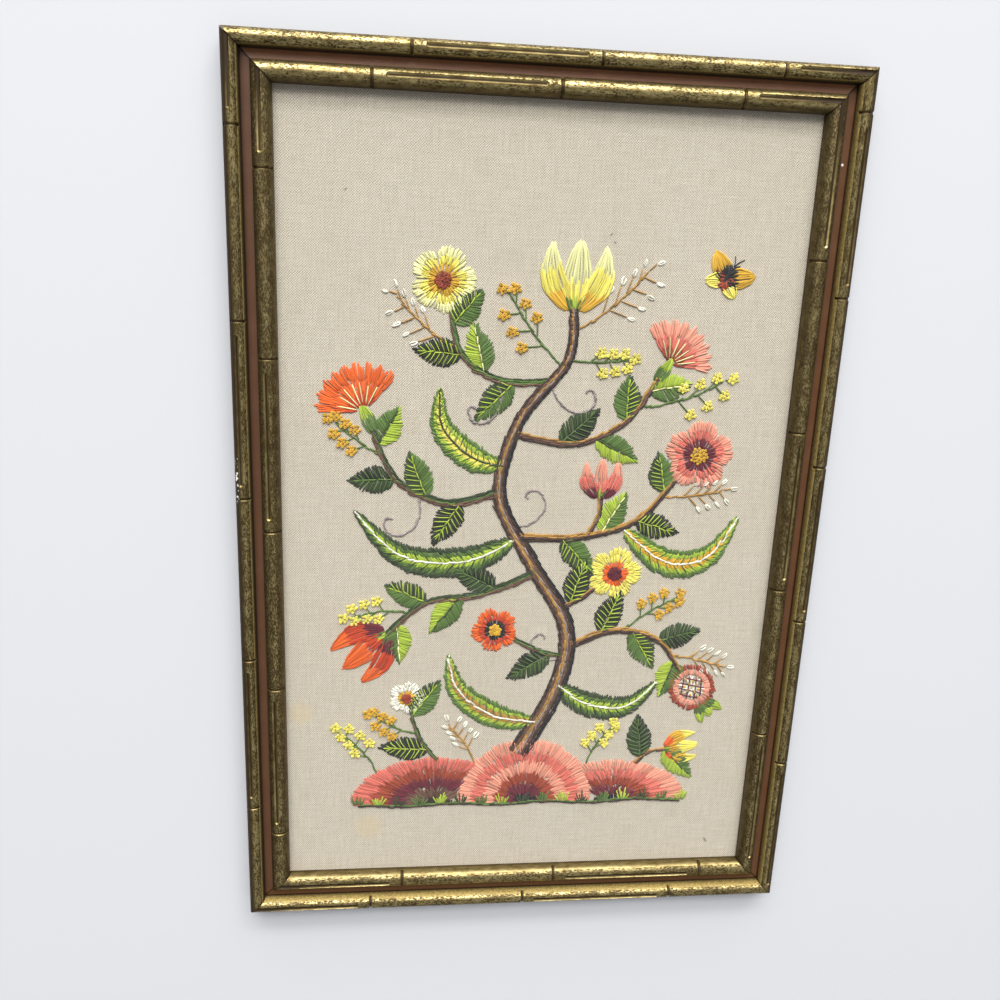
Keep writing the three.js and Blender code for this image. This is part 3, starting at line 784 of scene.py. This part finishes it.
def build_linen(material):
    """One cut length of linen stretched flat, a grid of points finished with the cloth's thickness."""
    x, y = np.meshgrid(np.linspace(-PANEL_WIDTH / 2, PANEL_WIDTH / 2, LINEN_COLUMNS + 1),
                       np.linspace(-PANEL_HEIGHT / 2, PANEL_HEIGHT / 2, LINEN_ROWS + 1))
    points = np.stack([x, y, linen_height(x, y)], axis=-1).reshape(-1, 3) * MM
    corner = np.add.outer(np.arange(LINEN_ROWS) * (LINEN_COLUMNS + 1), np.arange(LINEN_COLUMNS)).reshape(-1)
    above = corner + LINEN_COLUMNS + 1
    faces = np.stack([corner, corner + 1, above + 1, above], axis=-1)
    mesh = bpy.data.meshes.new("linen_cloth")
    mesh.from_pydata(points.tolist(), [], faces.tolist())
    mesh.materials.append(material)
    cloth = add_object("linen_cloth", mesh)
    apply_modifier(cloth, "SOLIDIFY", thickness=CLOTH_THICKNESS * MM, offset=-1)
    shade_smooth(cloth, LINEN_SMOOTH)
    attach(cloth, "root")
    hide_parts("linen_ground")
    return cloth


# Stitching. Every strand is a row of numbers, kept by wool until all of them are laid.

strands = {name: [] for name in WOOLS}
knots = {name: [] for name in WOOLS}


def lay(wool, a, b, width=STRAND_WIDTH, lift=0.0, bow=0.0):
    """Lays strands from points a to points b in one wool."""
    a = np.atleast_2d(a)
    b = np.atleast_2d(b)
    count = len(a)
    a = a + rng.normal(0, 0.4 * STRAND_STRAY, (count, 2))
    b = b + rng.normal(0, STRAND_STRAY, (count, 2))
    widths = width * rng.uniform(0.8, 1.15, count)
    lifts = lift + rng.uniform(0, 0.35, count)
    bows = bow + rng.normal(0, 0.15, count)
    shades = rng.beta(2.2, 2.0, count)
    strands[wool].append(np.column_stack([a, b, widths, lifts, bows, shades]))


def tie_knots(wool, places, size=KNOT_SIZE, lift=0.0):
    """Ties French knots at these places in one wool."""
    places = np.atleast_2d(places)
    count = len(places)
    sizes = size * rng.uniform(0.85, 1.2, count)
    lifts = lift + rng.uniform(0, 0.15, count)
    shades = rng.beta(2.5, 2.0, count)
    knots[wool].append(np.column_stack([places, sizes, lifts, shades]))


def put(x, y, turn):
    """A move from a motif's own place to the panel: turned about its root and set at x, y."""
    cos, sin = math.cos(turn), math.sin(turn)

    def moved(px, py):
        px, py = np.broadcast_arrays(px, py)
        return np.stack([x + cos * px - sin * py, y + sin * px + cos * py], axis=-1)
    return moved


def around(moved, middle, reach, angle):
    """Points at a reach and angle from a motif's middle, which is this far up from its root."""
    return moved(reach * np.sin(angle), middle + reach * np.cos(angle))


def smooth_line(points):
    """A smooth line through the points, as a function of 0 to 1 along it."""
    points = np.array(points, float)
    last = len(points) - 1

    def at(t):
        t = np.clip(np.asarray(t, float), 0, 1) * last
        i = np.minimum(t.astype(int), last - 1)
        w = (t - i)[..., None]
        p0, p1 = points[np.maximum(i - 1, 0)], points[i]
        p2, p3 = points[np.minimum(i + 1, last)], points[np.minimum(i + 2, last)]
        v0, v1 = (p2 - p0) / 2, (p3 - p1) / 2
        cubic = 2 * p1 - 2 * p2 + v0 + v1
        square = 3 * p2 - 3 * p1 - 2 * v0 - v1
        return cubic * w ** 3 + square * w ** 2 + v0 * w + p1
    return at


def heading(line, t):
    """The unit direction of a line at t."""
    step = 1e-3
    ahead = line(np.minimum(t + step, 1)) - line(np.maximum(t - step, 0))
    return ahead / np.linalg.norm(ahead, axis=-1, keepdims=True)


def sideways(ahead):
    """The directions a quarter turn to the left of these."""
    return np.stack([-ahead[..., 1], ahead[..., 0]], axis=-1)


def grow(line, t, turn=0.0, back=0.0):
    """A move to a line at t, turned from the way it runs there and set back along it."""
    ahead = heading(line, np.array([t]))[0]
    x, y = line(np.array([t]))[0] - back * ahead
    return put(x, y, math.atan2(ahead[1], ahead[0]) - math.pi / 2 + turn)


def root_of(row):
    """The move to where a sprig or a tendril grows: from its stem, or from a place of its own."""
    if "place" in row:
        return put(*row["place"], row["turn"])
    return grow(smooth_line(STEMS[row["stem"]]["points"]), row["at"], row["turn"])


def line_length(place):
    """The length of a line given as a function of 0 to 1."""
    points = place(np.linspace(0, 1, 60))
    return np.linalg.norm(np.diff(points, axis=0), axis=1).sum()


def fill(place, bands, spacing=STRAND_SPACING, ragged=0.14, lift=0.0, keep=None):
    """Fills a shape with long-and-short stitches. place(v, f) is a point across (v) and along (f) it,
    and each band is where it starts and ends along it, and its wool. Stitches bow to follow the shape.
    keep says which points may show."""
    for start, end, wool in bands:
        middle = (start + end) / 2
        count = max(3, int(line_length(lambda v: place(v, np.full_like(v, middle))) / spacing))
        v = (np.arange(count) + 0.5 + rng.uniform(-0.3, 0.3, count)) / count
        slack = ragged * (end - start)
        low = start + (rng.uniform(-1, 1, count) * slack if start > 0 else 0 * v)
        stray = (-1, 1) if end < 1 else (-0.25, 0.1)
        high = end + rng.uniform(*stray, count) * slack
        a, b = place(v, low), place(v, high)
        across = sideways(b - a) / (np.linalg.norm(b - a, axis=1)[:, None] + 1e-6)
        bow = ((place(v, (low + high) / 2) - (a + b) / 2) * across).sum(axis=1)
        if keep:
            shown = keep(a) & keep(b)
            a, b, bow = a[shown], b[shown], bow[shown]
        lay(wool, a, b, lift=lift, bow=bow)


def stem_rows(line, width, wools, stitch=7.0, lift=0.0):
    """Rows of stem stitch side by side along a line, width[0] wide at its root, width[1] at its tip."""
    rows = max(1, round(max(width) / STRAND_SPACING))
    length = line_length(line)
    count = max(2, int(length / (0.62 * stitch)))
    for row in range(rows):
        share = (row + 0.5) / rows - 0.5
        wool = wools[min(int((share + 0.5) * len(wools)), len(wools) - 1)]
        start = (np.arange(count) + rng.uniform(-0.15, 0.15, count)) / count
        end = start + stitch / length

        def beside(t, slant):
            t = np.clip(t, 0, 1)
            wide = width[0] + (width[1] - width[0]) * t
            return line(t) + sideways(heading(line, t)) * (share * wide + slant)[:, None]
        lay(wool, beside(start, -0.25), beside(end, 0.25), lift=lift + 0.05 * (row % 2))


def work_leaf(moved, length, half_width, near, far, vein):
    """A fishbone leaf: slanting stitches from the rib to each edge, in two greens, with a pale rib and,
    on dark wool, pale side veins."""

    def edge(t):
        return 1.55 * half_width * np.sin(np.pi * np.clip(t, 0, 1) ** 0.9) ** 0.85 * (1 - 0.35 * t)
    for side, wool in ((1, near), (-1, far)):
        def place(v, f):
            root, rim = 0.82 * v, 0.1 + 0.9 * v
            return moved(side * f * edge(rim), length * (root + (rim - root) * f))
        fill(place, ((0, 1, wool),), spacing=0.92)
        if wool in ("pine", "spruce"):
            v = np.linspace(0.1, 0.86, 8)
            lay(vein, place(v, 0 * v), place(v, 0 * v + 0.88), width=0.75, lift=0.5)
    rib = moved(0, length * np.linspace(0.03, 0.9, 6))
    lay(vein, rib[:-1], rib[1:], width=1.0, lift=0.45)


def work_rose(moved, height, wools):
    """Five rounded petals in rings of long-and-short stitch about a heart of knots."""
    petals = 5
    radius = height / 2
    edge, middle, heart = wools
    for i in range(petals):
        def place(v, f):
            angle = (i + 0.03 + 0.94 * v) * 2 * np.pi / petals
            notch = 0.05 * np.exp(-((v - 0.5) / 0.09) ** 2)
            rim = 0.74 + 0.26 * np.sin(np.pi * np.clip(v, 0, 1)) ** 0.55 - notch
            reach = radius * (0.2 + f * (rim - 0.2))
            return around(moved, radius, reach, angle)
        fill(place, ((0.0, 0.42, heart), (0.3, 0.72, middle), (0.58, 1.0, edge)))
    order = np.arange(HEART_KNOTS)
    reach = 0.24 * radius * np.sqrt((order + 0.5) / HEART_KNOTS)
    angle = GOLDEN_TURN * order
    heart_wool = {"maroon": "gold", "gold": "rust", "orange": "maroon", "black": "gold"}[heart]
    tie_knots(heart_wool, around(moved, radius, reach, angle), lift=0.5)


def work_petal(moved, root, tip, half_width, bands, bend=0.0):
    """One pointed petal from root to tip, its stitches running along it."""
    root, tip = np.array(root, float), np.array(tip, float)
    along = tip - root
    across = sideways(along) / np.linalg.norm(along)

    def place(v, f):
        wide = half_width * np.sin(np.pi * np.clip(0.06 + 0.94 * f, 0, 1) ** 0.85) ** 0.75
        off = (2 * v - 1) * wide + bend * np.sin(np.pi * f)
        spot = root + along * f[..., None] + across * off[..., None]
        return moved(spot[..., 0], spot[..., 1])
    fill(place, bands, spacing=0.95)


def work_tulip(moved, height, wools):
    """Two side petals that curl out, one in front, and a green cup."""
    edge, middle, heart = wools
    bands = ((0.0, 0.36, heart), (0.26, 0.7, middle), (0.58, 1.0, edge))
    for side in (-1, 1):
        work_petal(moved, (side * 0.05 * height, 0.02 * height), (side * 0.38 * height, 0.93 * height),
                   0.18 * height, bands, bend=side * -0.14 * height)
    back = ((0.0, 0.4, middle), (0.3, 1.0, edge))
    work_petal(moved, (0, 0.08 * height), (0, height), 0.2 * height, back)
    for side in (-1, 0, 1):
        work_petal(moved, (0, -0.04 * height), (side * 0.14 * height, 0.28 * height), 0.045 * height,
                   ((0.0, 1.0, "moss" if side else "lime"),))


def work_pink(moved, height, wools):
    """A fan of toothed petals above a green calyx."""
    edge, middle, heart = wools
    teeth = 9
    spread = 1.15
    neck = 0.3 * height

    def place(v, f):
        angle = spread * (1 - 2 * v)
        tooth = 0.62 + 0.08 * (1 - np.abs(2 * ((v * teeth) % 1) - 1))
        reach = height * (0.03 + f * (tooth - 0.03))
        return around(moved, neck, reach, angle)
    fill(place, ((0.1, 0.4, heart), (0.3, 0.7, middle), (0.6, 1.0, edge)), ragged=0.18)
    rays = np.linspace(-0.9, 0.9, 7)
    lay("primrose", around(moved, neck, 0.1 * height, rays), around(moved, neck, 0.42 * height, rays),
        width=0.9, lift=0.5)
    work_petal(moved, (0, -1), (0, 0.42 * height), 0.1 * height,
               ((0.0, 0.6, "moss"), (0.45, 1.0, "lime")))


def work_pomegranate(moved, height, wools):
    """A round fruit: a satin rind, a trellis of seeds in the opened middle, and a crown at the tip."""
    rind, flesh, seed = wools
    centre = 0.4 * height

    def ring(v, f):
        angle = 2 * np.pi * v
        return moved(0.36 * height * f * np.sin(angle), centre + 0.4 * height * f * np.cos(angle))
    fill(ring, ((0.78, 1.0, rind), (0.54, 0.82, flesh)))
    fill(ring, ((0.0, 0.56, "cream"),), spacing=1.6)
    for tilt in (0.7, -0.7):
        for offset in np.linspace(-0.14, 0.14, 4) * height:
            half = 0.5 * math.sqrt(max((0.22 * height) ** 2 - offset ** 2, 0)) * 1.9
            cos, sin = math.cos(tilt), math.sin(tilt)
            start = moved(offset * cos - half * sin, centre - offset * sin - half * cos)
            end = moved(offset * cos + half * sin, centre - offset * sin + half * cos)
            lay("maroon", start, end, width=0.9, lift=0.6)
    grid = np.array([(i, j) for i in range(-2, 3) for j in range(-2, 3) if abs(i) + abs(j) < 3], float)
    seeds = moved(grid[:, 0] * 0.075 * height, centre + grid[:, 1] * 0.085 * height)
    tie_knots(seed, seeds, size=0.8, lift=0.7)
    for side in (-1, 1, 0):
        work_petal(moved, (side * 0.05 * height, 0.72 * height), (side * 0.2 * height, 1.01 * height),
                   0.085 * height, ((0.0, 0.55, "moss"), (0.4, 1.0, "lime")))
    work_petal(moved, (0, -0.05 * height), (0, 0.12 * height), 0.09 * height, ((0.0, 1.0, "moss"),))


BLOOMS = dict(rose=work_rose, tulip=work_tulip, pink=work_pink, pomegranate=work_pomegranate)
GREENS = (("spruce", "moss", "lime"), ("moss", "lime", "primrose"), ("pine", "pine", "lime"),
          ("moss", "spruce", "lime"), ("pine", "spruce", "moss"), ("lime", "moss", "spruce"))


def work_stem(stem, order):
    """A stem in rows of stem stitch, its leaves, and the bloom at its tip."""
    line = smooth_line(stem["points"])
    wools = BARKS[order % 2] if order else TRUNK_BARK
    for i in range(stem["leaves"]):
        t = LEAF["first_at"] + (LEAF["last_at"] - LEAF["first_at"]) * i / max(stem["leaves"] - 1, 1)
        splay = (-stem["side"] if i % 2 else stem["side"]) * LEAF["splay"]
        length = LEAF["length"] * (1 - LEAF["shrink"] * i)
        greens = GREENS[(2 * order + i) % len(GREENS)]
        work_leaf(grow(line, t, splay), length, LEAF["half_width"], *greens)
    stem_rows(line, stem["width"], wools, lift=0.2)
    BLOOMS[stem["bloom"]](grow(line, 1.0, back=BLOOM_TUCK), stem["size"], stem["wools"])


def work_plume(plume):
    """A long curled leaf: slanting stitches in three bands on each side of a pale rib, scalloped along
    its edges, with side veins in the edge's wool."""
    line = smooth_line(plume["points"])
    edge, middle, inner = plume["wools"]
    scallops = 9

    def half(t):
        t = np.clip(t, 0, 1)
        scallop = 0.9 + 0.1 * np.abs(np.sin(scallops * np.pi * t))
        return plume["width"] / 2 * np.sin(np.pi * t ** 0.8) ** 0.9 * scallop
    for side in (-1, 1):
        def place(v, f):
            t = np.clip(0.94 * v + 0.07 * f, 0, 1)
            return line(t) + sideways(heading(line, t)) * (side * f * half(t))[..., None]
        fill(place, ((0.6, 1.0, edge), (0.3, 0.72, middle), (0.0, 0.42, inner)), spacing=0.95, ragged=0.2)
        v = np.linspace(0.1, 0.86, 13)
        lay(edge, place(v, 0 * v), place(v, 0 * v + 0.7), width=0.8, lift=0.45)
    stem_rows(line, (1.6, 1.0), ("cream" if inner != "lemon" else "spruce",), stitch=6, lift=0.5)


def inside(hill, points):
    """How far out from a mound's middle points lie: under 1 is on it."""
    return np.hypot((points[:, 0] - hill["x"]) / hill["half_width"],
                    (points[:, 1] - HILLOCK_FOOT) / hill["height"])


def work_hillocks():
    """Mounds in bands of radial stitches about an upright core, the middle one in front, with a line of
    stem stitch and tufts of grass at their foot."""
    front = HILLOCKS[-1]
    for hill in HILLOCKS:
        bands = len(hill["wools"])

        def place(v, f):
            angle = np.pi * v
            scallop = 1 + 0.03 * f * np.abs(np.sin(7 * angle))
            return np.stack([hill["x"] + hill["half_width"] * f * np.cos(angle) * scallop,
                             HILLOCK_FOOT + hill["height"] * f * np.sin(angle) * scallop], axis=-1)

        def core(v, f):
            rim = place(v, np.full_like(f, 1.1 / bands))
            return np.stack([rim[..., 0], HILLOCK_FOOT + f * (rim[..., 1] - HILLOCK_FOOT)], axis=-1)
        keep = None if hill is front else (lambda points: inside(front, points) > 0.97)
        rows = [(1 - (i + 1.35) / bands, 1 - i / bands, wool) for i, wool in enumerate(hill["wools"])]
        fill(place, rows[:-1], spacing=0.8, ragged=0.25, keep=keep)
        fill(core, ((0.0, 1.0, rows[-1][2]),), spacing=0.9, keep=keep)

    def foot(t):
        x = GRASS["first"] + (GRASS["last"] - GRASS["first"]) * np.asarray(t, float)
        return np.stack([x, HILLOCK_FOOT - 0.6 + 0.9 * np.sin(x / 11)], axis=-1)
    stem_rows(foot, (2.4, 2.4), ("umber", "moss"), lift=0.3)
    for i, t in enumerate(np.linspace(0, 1, GRASS["count"])):
        x, y = foot(t)
        lean = np.linspace(-GRASS["fan"], GRASS["fan"], GRASS["blades"])
        reach = GRASS["length"] * rng.uniform(0.6, 1.1, GRASS["blades"]) * np.cos(0.6 * lean)
        tips = np.stack([x + reach * np.sin(lean), y + reach * np.cos(lean)], axis=-1)
        roots = np.stack([x + 2.5 * lean, y + 0 * lean], axis=-1)
        lay(("moss", "lime", "spruce")[i % 3], roots, tips, width=1.1, lift=0.6)


def work_sprig(sprig):
    """A thin bent stem with short side stems that end in heads of knots or looped buds."""
    moved = root_of(sprig)
    length = sprig["length"]
    twig, tip_wool = sprig["twig"], sprig["tip"]

    def spine(t):
        return np.stack([-sprig["bend"] * length * t ** 2, length * t], axis=-1)

    def on_spine(t):
        return moved(*np.moveaxis(spine(np.asarray(t, float)), -1, 0))
    stem_rows(on_spine, (1.2, 0.8), (twig,), stitch=6)
    for i, t in enumerate(np.linspace(0.35, 1.0, 7 if sprig["kind"] == "heads" else 9)):
        side = 1 if i % 2 else -1
        reach = length * (0.22 - 0.1 * t)
        root = spine(t)
        branch = reach * np.array([side * (0.95 if t < 1 else 0.1), 0.9])
        tip = root + branch
        lay(twig, moved(*root), moved(*tip), width=0.9, lift=0.1)
        if sprig["kind"] == "buds":
            end = tip + BUD["length"] * branch / np.linalg.norm(branch)
            for bow in (-BUD["bow"], BUD["bow"]):
                lay(tip_wool, moved(*tip), moved(*end), width=BUD["width"], bow=bow)
            continue
        order = np.arange(HEAD_KNOTS)
        out = HEAD_SPREAD * np.sqrt(order)
        angle = GOLDEN_TURN * order
        tie_knots(tip_wool, moved(tip[0] + out * np.sin(angle), tip[1] + out * np.cos(angle)), lift=0.1)


def work_tendril(tendril):
    """A thin line that leaves a stem and rolls up in a curl."""
    moved = root_of(tendril)
    size = tendril["size"]

    def curl(t):
        t = np.asarray(t, float)
        roll = tendril["curl"] * 5.2 * t ** 1.7
        reach = size * 0.55 * (1 - t) ** 0.9
        return moved(-reach * np.sin(roll), size * 0.55 - reach * np.cos(roll))
    stem_rows(curl, (1.3, 1.1), ("taupe",), stitch=4.5)


def work_butterfly():
    """Four wings, a dark body and two feelers."""
    turn = BUTTERFLY["heading"]
    x, y = BUTTERFLY["x"], BUTTERFLY["y"]
    for wing in WINGS:
        edge, root = wing["wools"]
        work_petal(put(x, y, turn + wing["turn"]), (0, 0), (0, wing["size"]), 0.36 * wing["size"],
                   ((0.0, 0.45, root), (0.3, 1.0, edge)))
    moved = put(x + BUTTERFLY["tail"] * math.sin(turn), y - BUTTERFLY["tail"] * math.cos(turn), turn)
    work_petal(moved, (0, 0), (0, BUTTERFLY["length"]), BUTTERFLY["half_width"], ((0.0, 1.0, "black"),))
    head = BUTTERFLY["length"]
    out, ahead = BUTTERFLY["feeler"]
    for side in (-1, 1):
        lay("black", moved(0, head), moved(side * out, head + ahead), width=0.7, bow=side)


def catch_lint():
    """Short bits of wool caught in the cloth."""
    for bit in LINT:
        moved = put(bit["x"], bit["y"], bit["turn"])
        lay(LINT_WOOL, moved(0, 0), moved(0, bit["length"]), width=0.6, bow=0.3)


# Turning the rows of numbers into wool

RINGS = ((0.06, 0.62), (0.28, 1.0), (0.72, 1.0), (0.94, 0.62))
SIDES = 6


def strand_shape(rows):
    """Points, faces, uv and shade of every strand: a flattened tube that dips into the cloth at its
    ends."""
    ax, ay, bx, by, width, lift, bow, shade = rows.T
    length = np.hypot(bx - ax, by - ay) + 1e-6
    across = sideways(np.stack([bx - ax, by - ay], axis=-1)) / length[:, None]
    points, uvs = [], []
    for t, fullness in ((0.0, 0.0), *RINGS, (1.0, 0.0)):
        centre = np.stack([ax + (bx - ax) * t, ay + (by - ay) * t], axis=-1)
        centre = centre + across * (bow * 4 * t * (1 - t))[:, None]
        ground = linen_height(centre[:, 0], centre[:, 1])
        if fullness == 0:
            points.append(np.column_stack([centre, ground - STRAND_DIP])[:, None, :])
            uvs.append(np.column_stack([length * t, 0 * length])[:, None, :])
            continue
        angle = -np.pi / 2 + 2 * np.pi * np.arange(SIDES) / SIDES
        out = (width * (0.55 + 0.45 * fullness))[:, None] / 2 * np.cos(angle)
        up = STRAND_HEIGHT * fullness / 2 * (np.sin(angle) + 0.7)
        height = (ground + lift * fullness)[:, None] + up
        points.append(np.concatenate([centre[:, None] + across[:, None] * out[..., None], height[..., None]],
                                     axis=-1))
        uvs.append(np.stack(np.broadcast_arrays((length * t)[:, None], np.arange(SIDES) / SIDES), axis=-1))
    points = np.concatenate(points, axis=1)
    uvs = np.concatenate(uvs, axis=1)
    per_strand = points.shape[1]
    last = per_strand - 1
    faces = []
    for k in range(SIDES):
        after = (k + 1) % SIDES
        faces.append((0, 1 + after, 1 + k))
        for ring in range(len(RINGS) - 1):
            base = 1 + ring * SIDES
            faces.append((base + k, base + after, base + SIDES + after, base + SIDES + k))
        faces.append((last - SIDES + k, last - SIDES + after, last))
    return points, uvs, faces, np.repeat(shade, per_strand)


def knot_shape(rows):
    """Points, faces, uv and shade of every knot: a small tight coil sitting on the cloth."""
    x, y, size, lift, shade = rows.T
    turns, sides = 8, 5
    bearing = 2 * np.pi * np.arange(turns) / turns
    about = 2 * np.pi * np.arange(sides) / sides
    reach = 0.52 + 0.48 * np.cos(about)
    ring = np.stack([np.outer(np.cos(bearing), reach), np.outer(np.sin(bearing), reach),
                     np.broadcast_to(0.5 + 0.6 * np.sin(about), (turns, sides))], axis=-1).reshape(-1, 3)
    points = ring[None] * size[:, None, None]
    points = points + np.stack([x, y, linen_height(x, y) + lift], axis=-1)[:, None, :]
    uv = np.column_stack([np.repeat(np.arange(turns) * 0.8, sides),
                          np.tile(np.arange(sides) / sides, turns)])
    uvs = np.broadcast_to(uv, points.shape[:2] + (2,))
    faces = [(i * sides + j, (i + 1) % turns * sides + j, (i + 1) % turns * sides + (j + 1) % sides,
              i * sides + (j + 1) % sides) for i in range(turns) for j in range(sides)]
    return points, uvs, faces, np.repeat(shade, points.shape[1])


def build_wool(name, material):
    """All the strands and knots of one wool as one piece."""
    points, uvs, faces, shades = [], [], [], []
    start = 0
    for rows, shape in ((strands[name], strand_shape), (knots[name], knot_shape)):
        if not rows:
            continue
        made, uv, pattern, shade = shape(np.concatenate(rows))
        count, each = made.shape[:2]
        points.append(made.reshape(-1, 3) * MM)
        uvs.append(uv.reshape(-1, 2))
        shades.append(shade)
        firsts = start + np.arange(count) * each
        for face in pattern:
            faces += (firsts[:, None] + np.array(face)[None, :]).tolist()
        start += count * each
    mesh = bpy.data.meshes.new("wool_" + name)
    mesh.from_pydata(np.concatenate(points).tolist(), [], faces)
    uv_points = np.concatenate(uvs)
    loops = np.empty(len(mesh.loops), dtype=np.int32)
    mesh.loops.foreach_get("vertex_index", loops)
    mesh.uv_layers.new(name="strand").data.foreach_set("uv", uv_points[loops].astype(np.float32).ravel())
    mesh.attributes.new("shade", "FLOAT", "POINT").data.foreach_set(
        "value", np.concatenate(shades).astype(np.float32))
    mesh.materials.append(material)
    mesh.polygons.foreach_set("use_smooth", np.ones(len(mesh.polygons), dtype=bool))
    mesh.update()
    piece = add_object("wool_" + name, mesh)
    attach(piece, "root")
    return piece


def work_design():
    """Works the whole design, the ground first and the blooms over their stems."""
    work_hillocks()
    for tendril in TENDRILS:
        work_tendril(tendril)
    for sprig in SPRIGS:
        work_sprig(sprig)
    for plume in PLUMES:
        work_plume(plume)
    for order, stem in enumerate(STEMS):
        work_stem(stem, order)
    work_butterfly()
    catch_lint()


# The stage

def build_floor():
    """The plain floor that the panel lies on."""
    deselect_all()
    bpy.ops.mesh.primitive_plane_add(size=FLOOR_SIZE)
    floor = bpy.context.object
    floor.name = "floor"
    floor.data.materials.append(pale_floor())


def add_light(name, place, aim, size, power):
    """A rectangular soft light."""
    lamp = bpy.data.lights.new(name, "AREA")
    lamp.shape = "RECTANGLE"
    lamp.size, lamp.size_y = size
    lamp.energy = power
    light = add_object(name, lamp)
    light.location = place
    light.rotation_euler = (Vector(aim) - Vector(place)).to_track_quat("-Z", "Y").to_euler()


def light_studio():
    """The lights and an even dim surround."""
    for light in LIGHTS:
        add_light(**light)
    world = bpy.data.worlds.new("surround")
    bpy.context.scene.world = world
    world.use_nodes = True
    backdrop = world.node_tree.nodes["Background"]
    plug(backdrop, Color=linear(SURROUND_COLOUR), Strength=SURROUND_STRENGTH)


def set_camera():
    """The camera at the photograph's angle to the frame."""
    place, aim = Vector(CAMERA_PLACE) * MM, Vector(CAMERA_AIM) * MM
    forward = (aim - place).normalized()
    right = forward.cross(Vector((0, 1, 0))).normalized()
    right = Matrix.Rotation(CAMERA_ROLL, 3, -forward) @ right
    up = right.cross(forward)
    pose = Matrix((right, up, -forward)).transposed().to_4x4()
    pose.translation = place
    lens = bpy.data.cameras.new("camera")
    lens.sensor_width = SENSOR_MM
    lens.lens = FOCAL_PIXELS / IMAGE_PIXELS * SENSOR_MM
    lens.clip_start = 0.01
    camera = add_object("camera", lens)
    camera.matrix_world = pose
    bpy.context.scene.camera = camera


# The panel

set_camera()
build_floor()
light_studio()
bpy.context.scene.view_settings.view_transform = "Standard"

finishes = (gilt_leaf(), rust_lacquer(), bare_softwood(), bronze_paint())
for rail in RAILS:
    build_rail(rail, finishes)

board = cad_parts["mount_board"]
board.data.materials.clear()
board.data.materials.append(pressed_board())

linen = build_linen(linen_twill())
work_design()
wool_pieces = [build_wool(name, crewel_wool(name, colour)) for name, colour in WOOLS.items()]
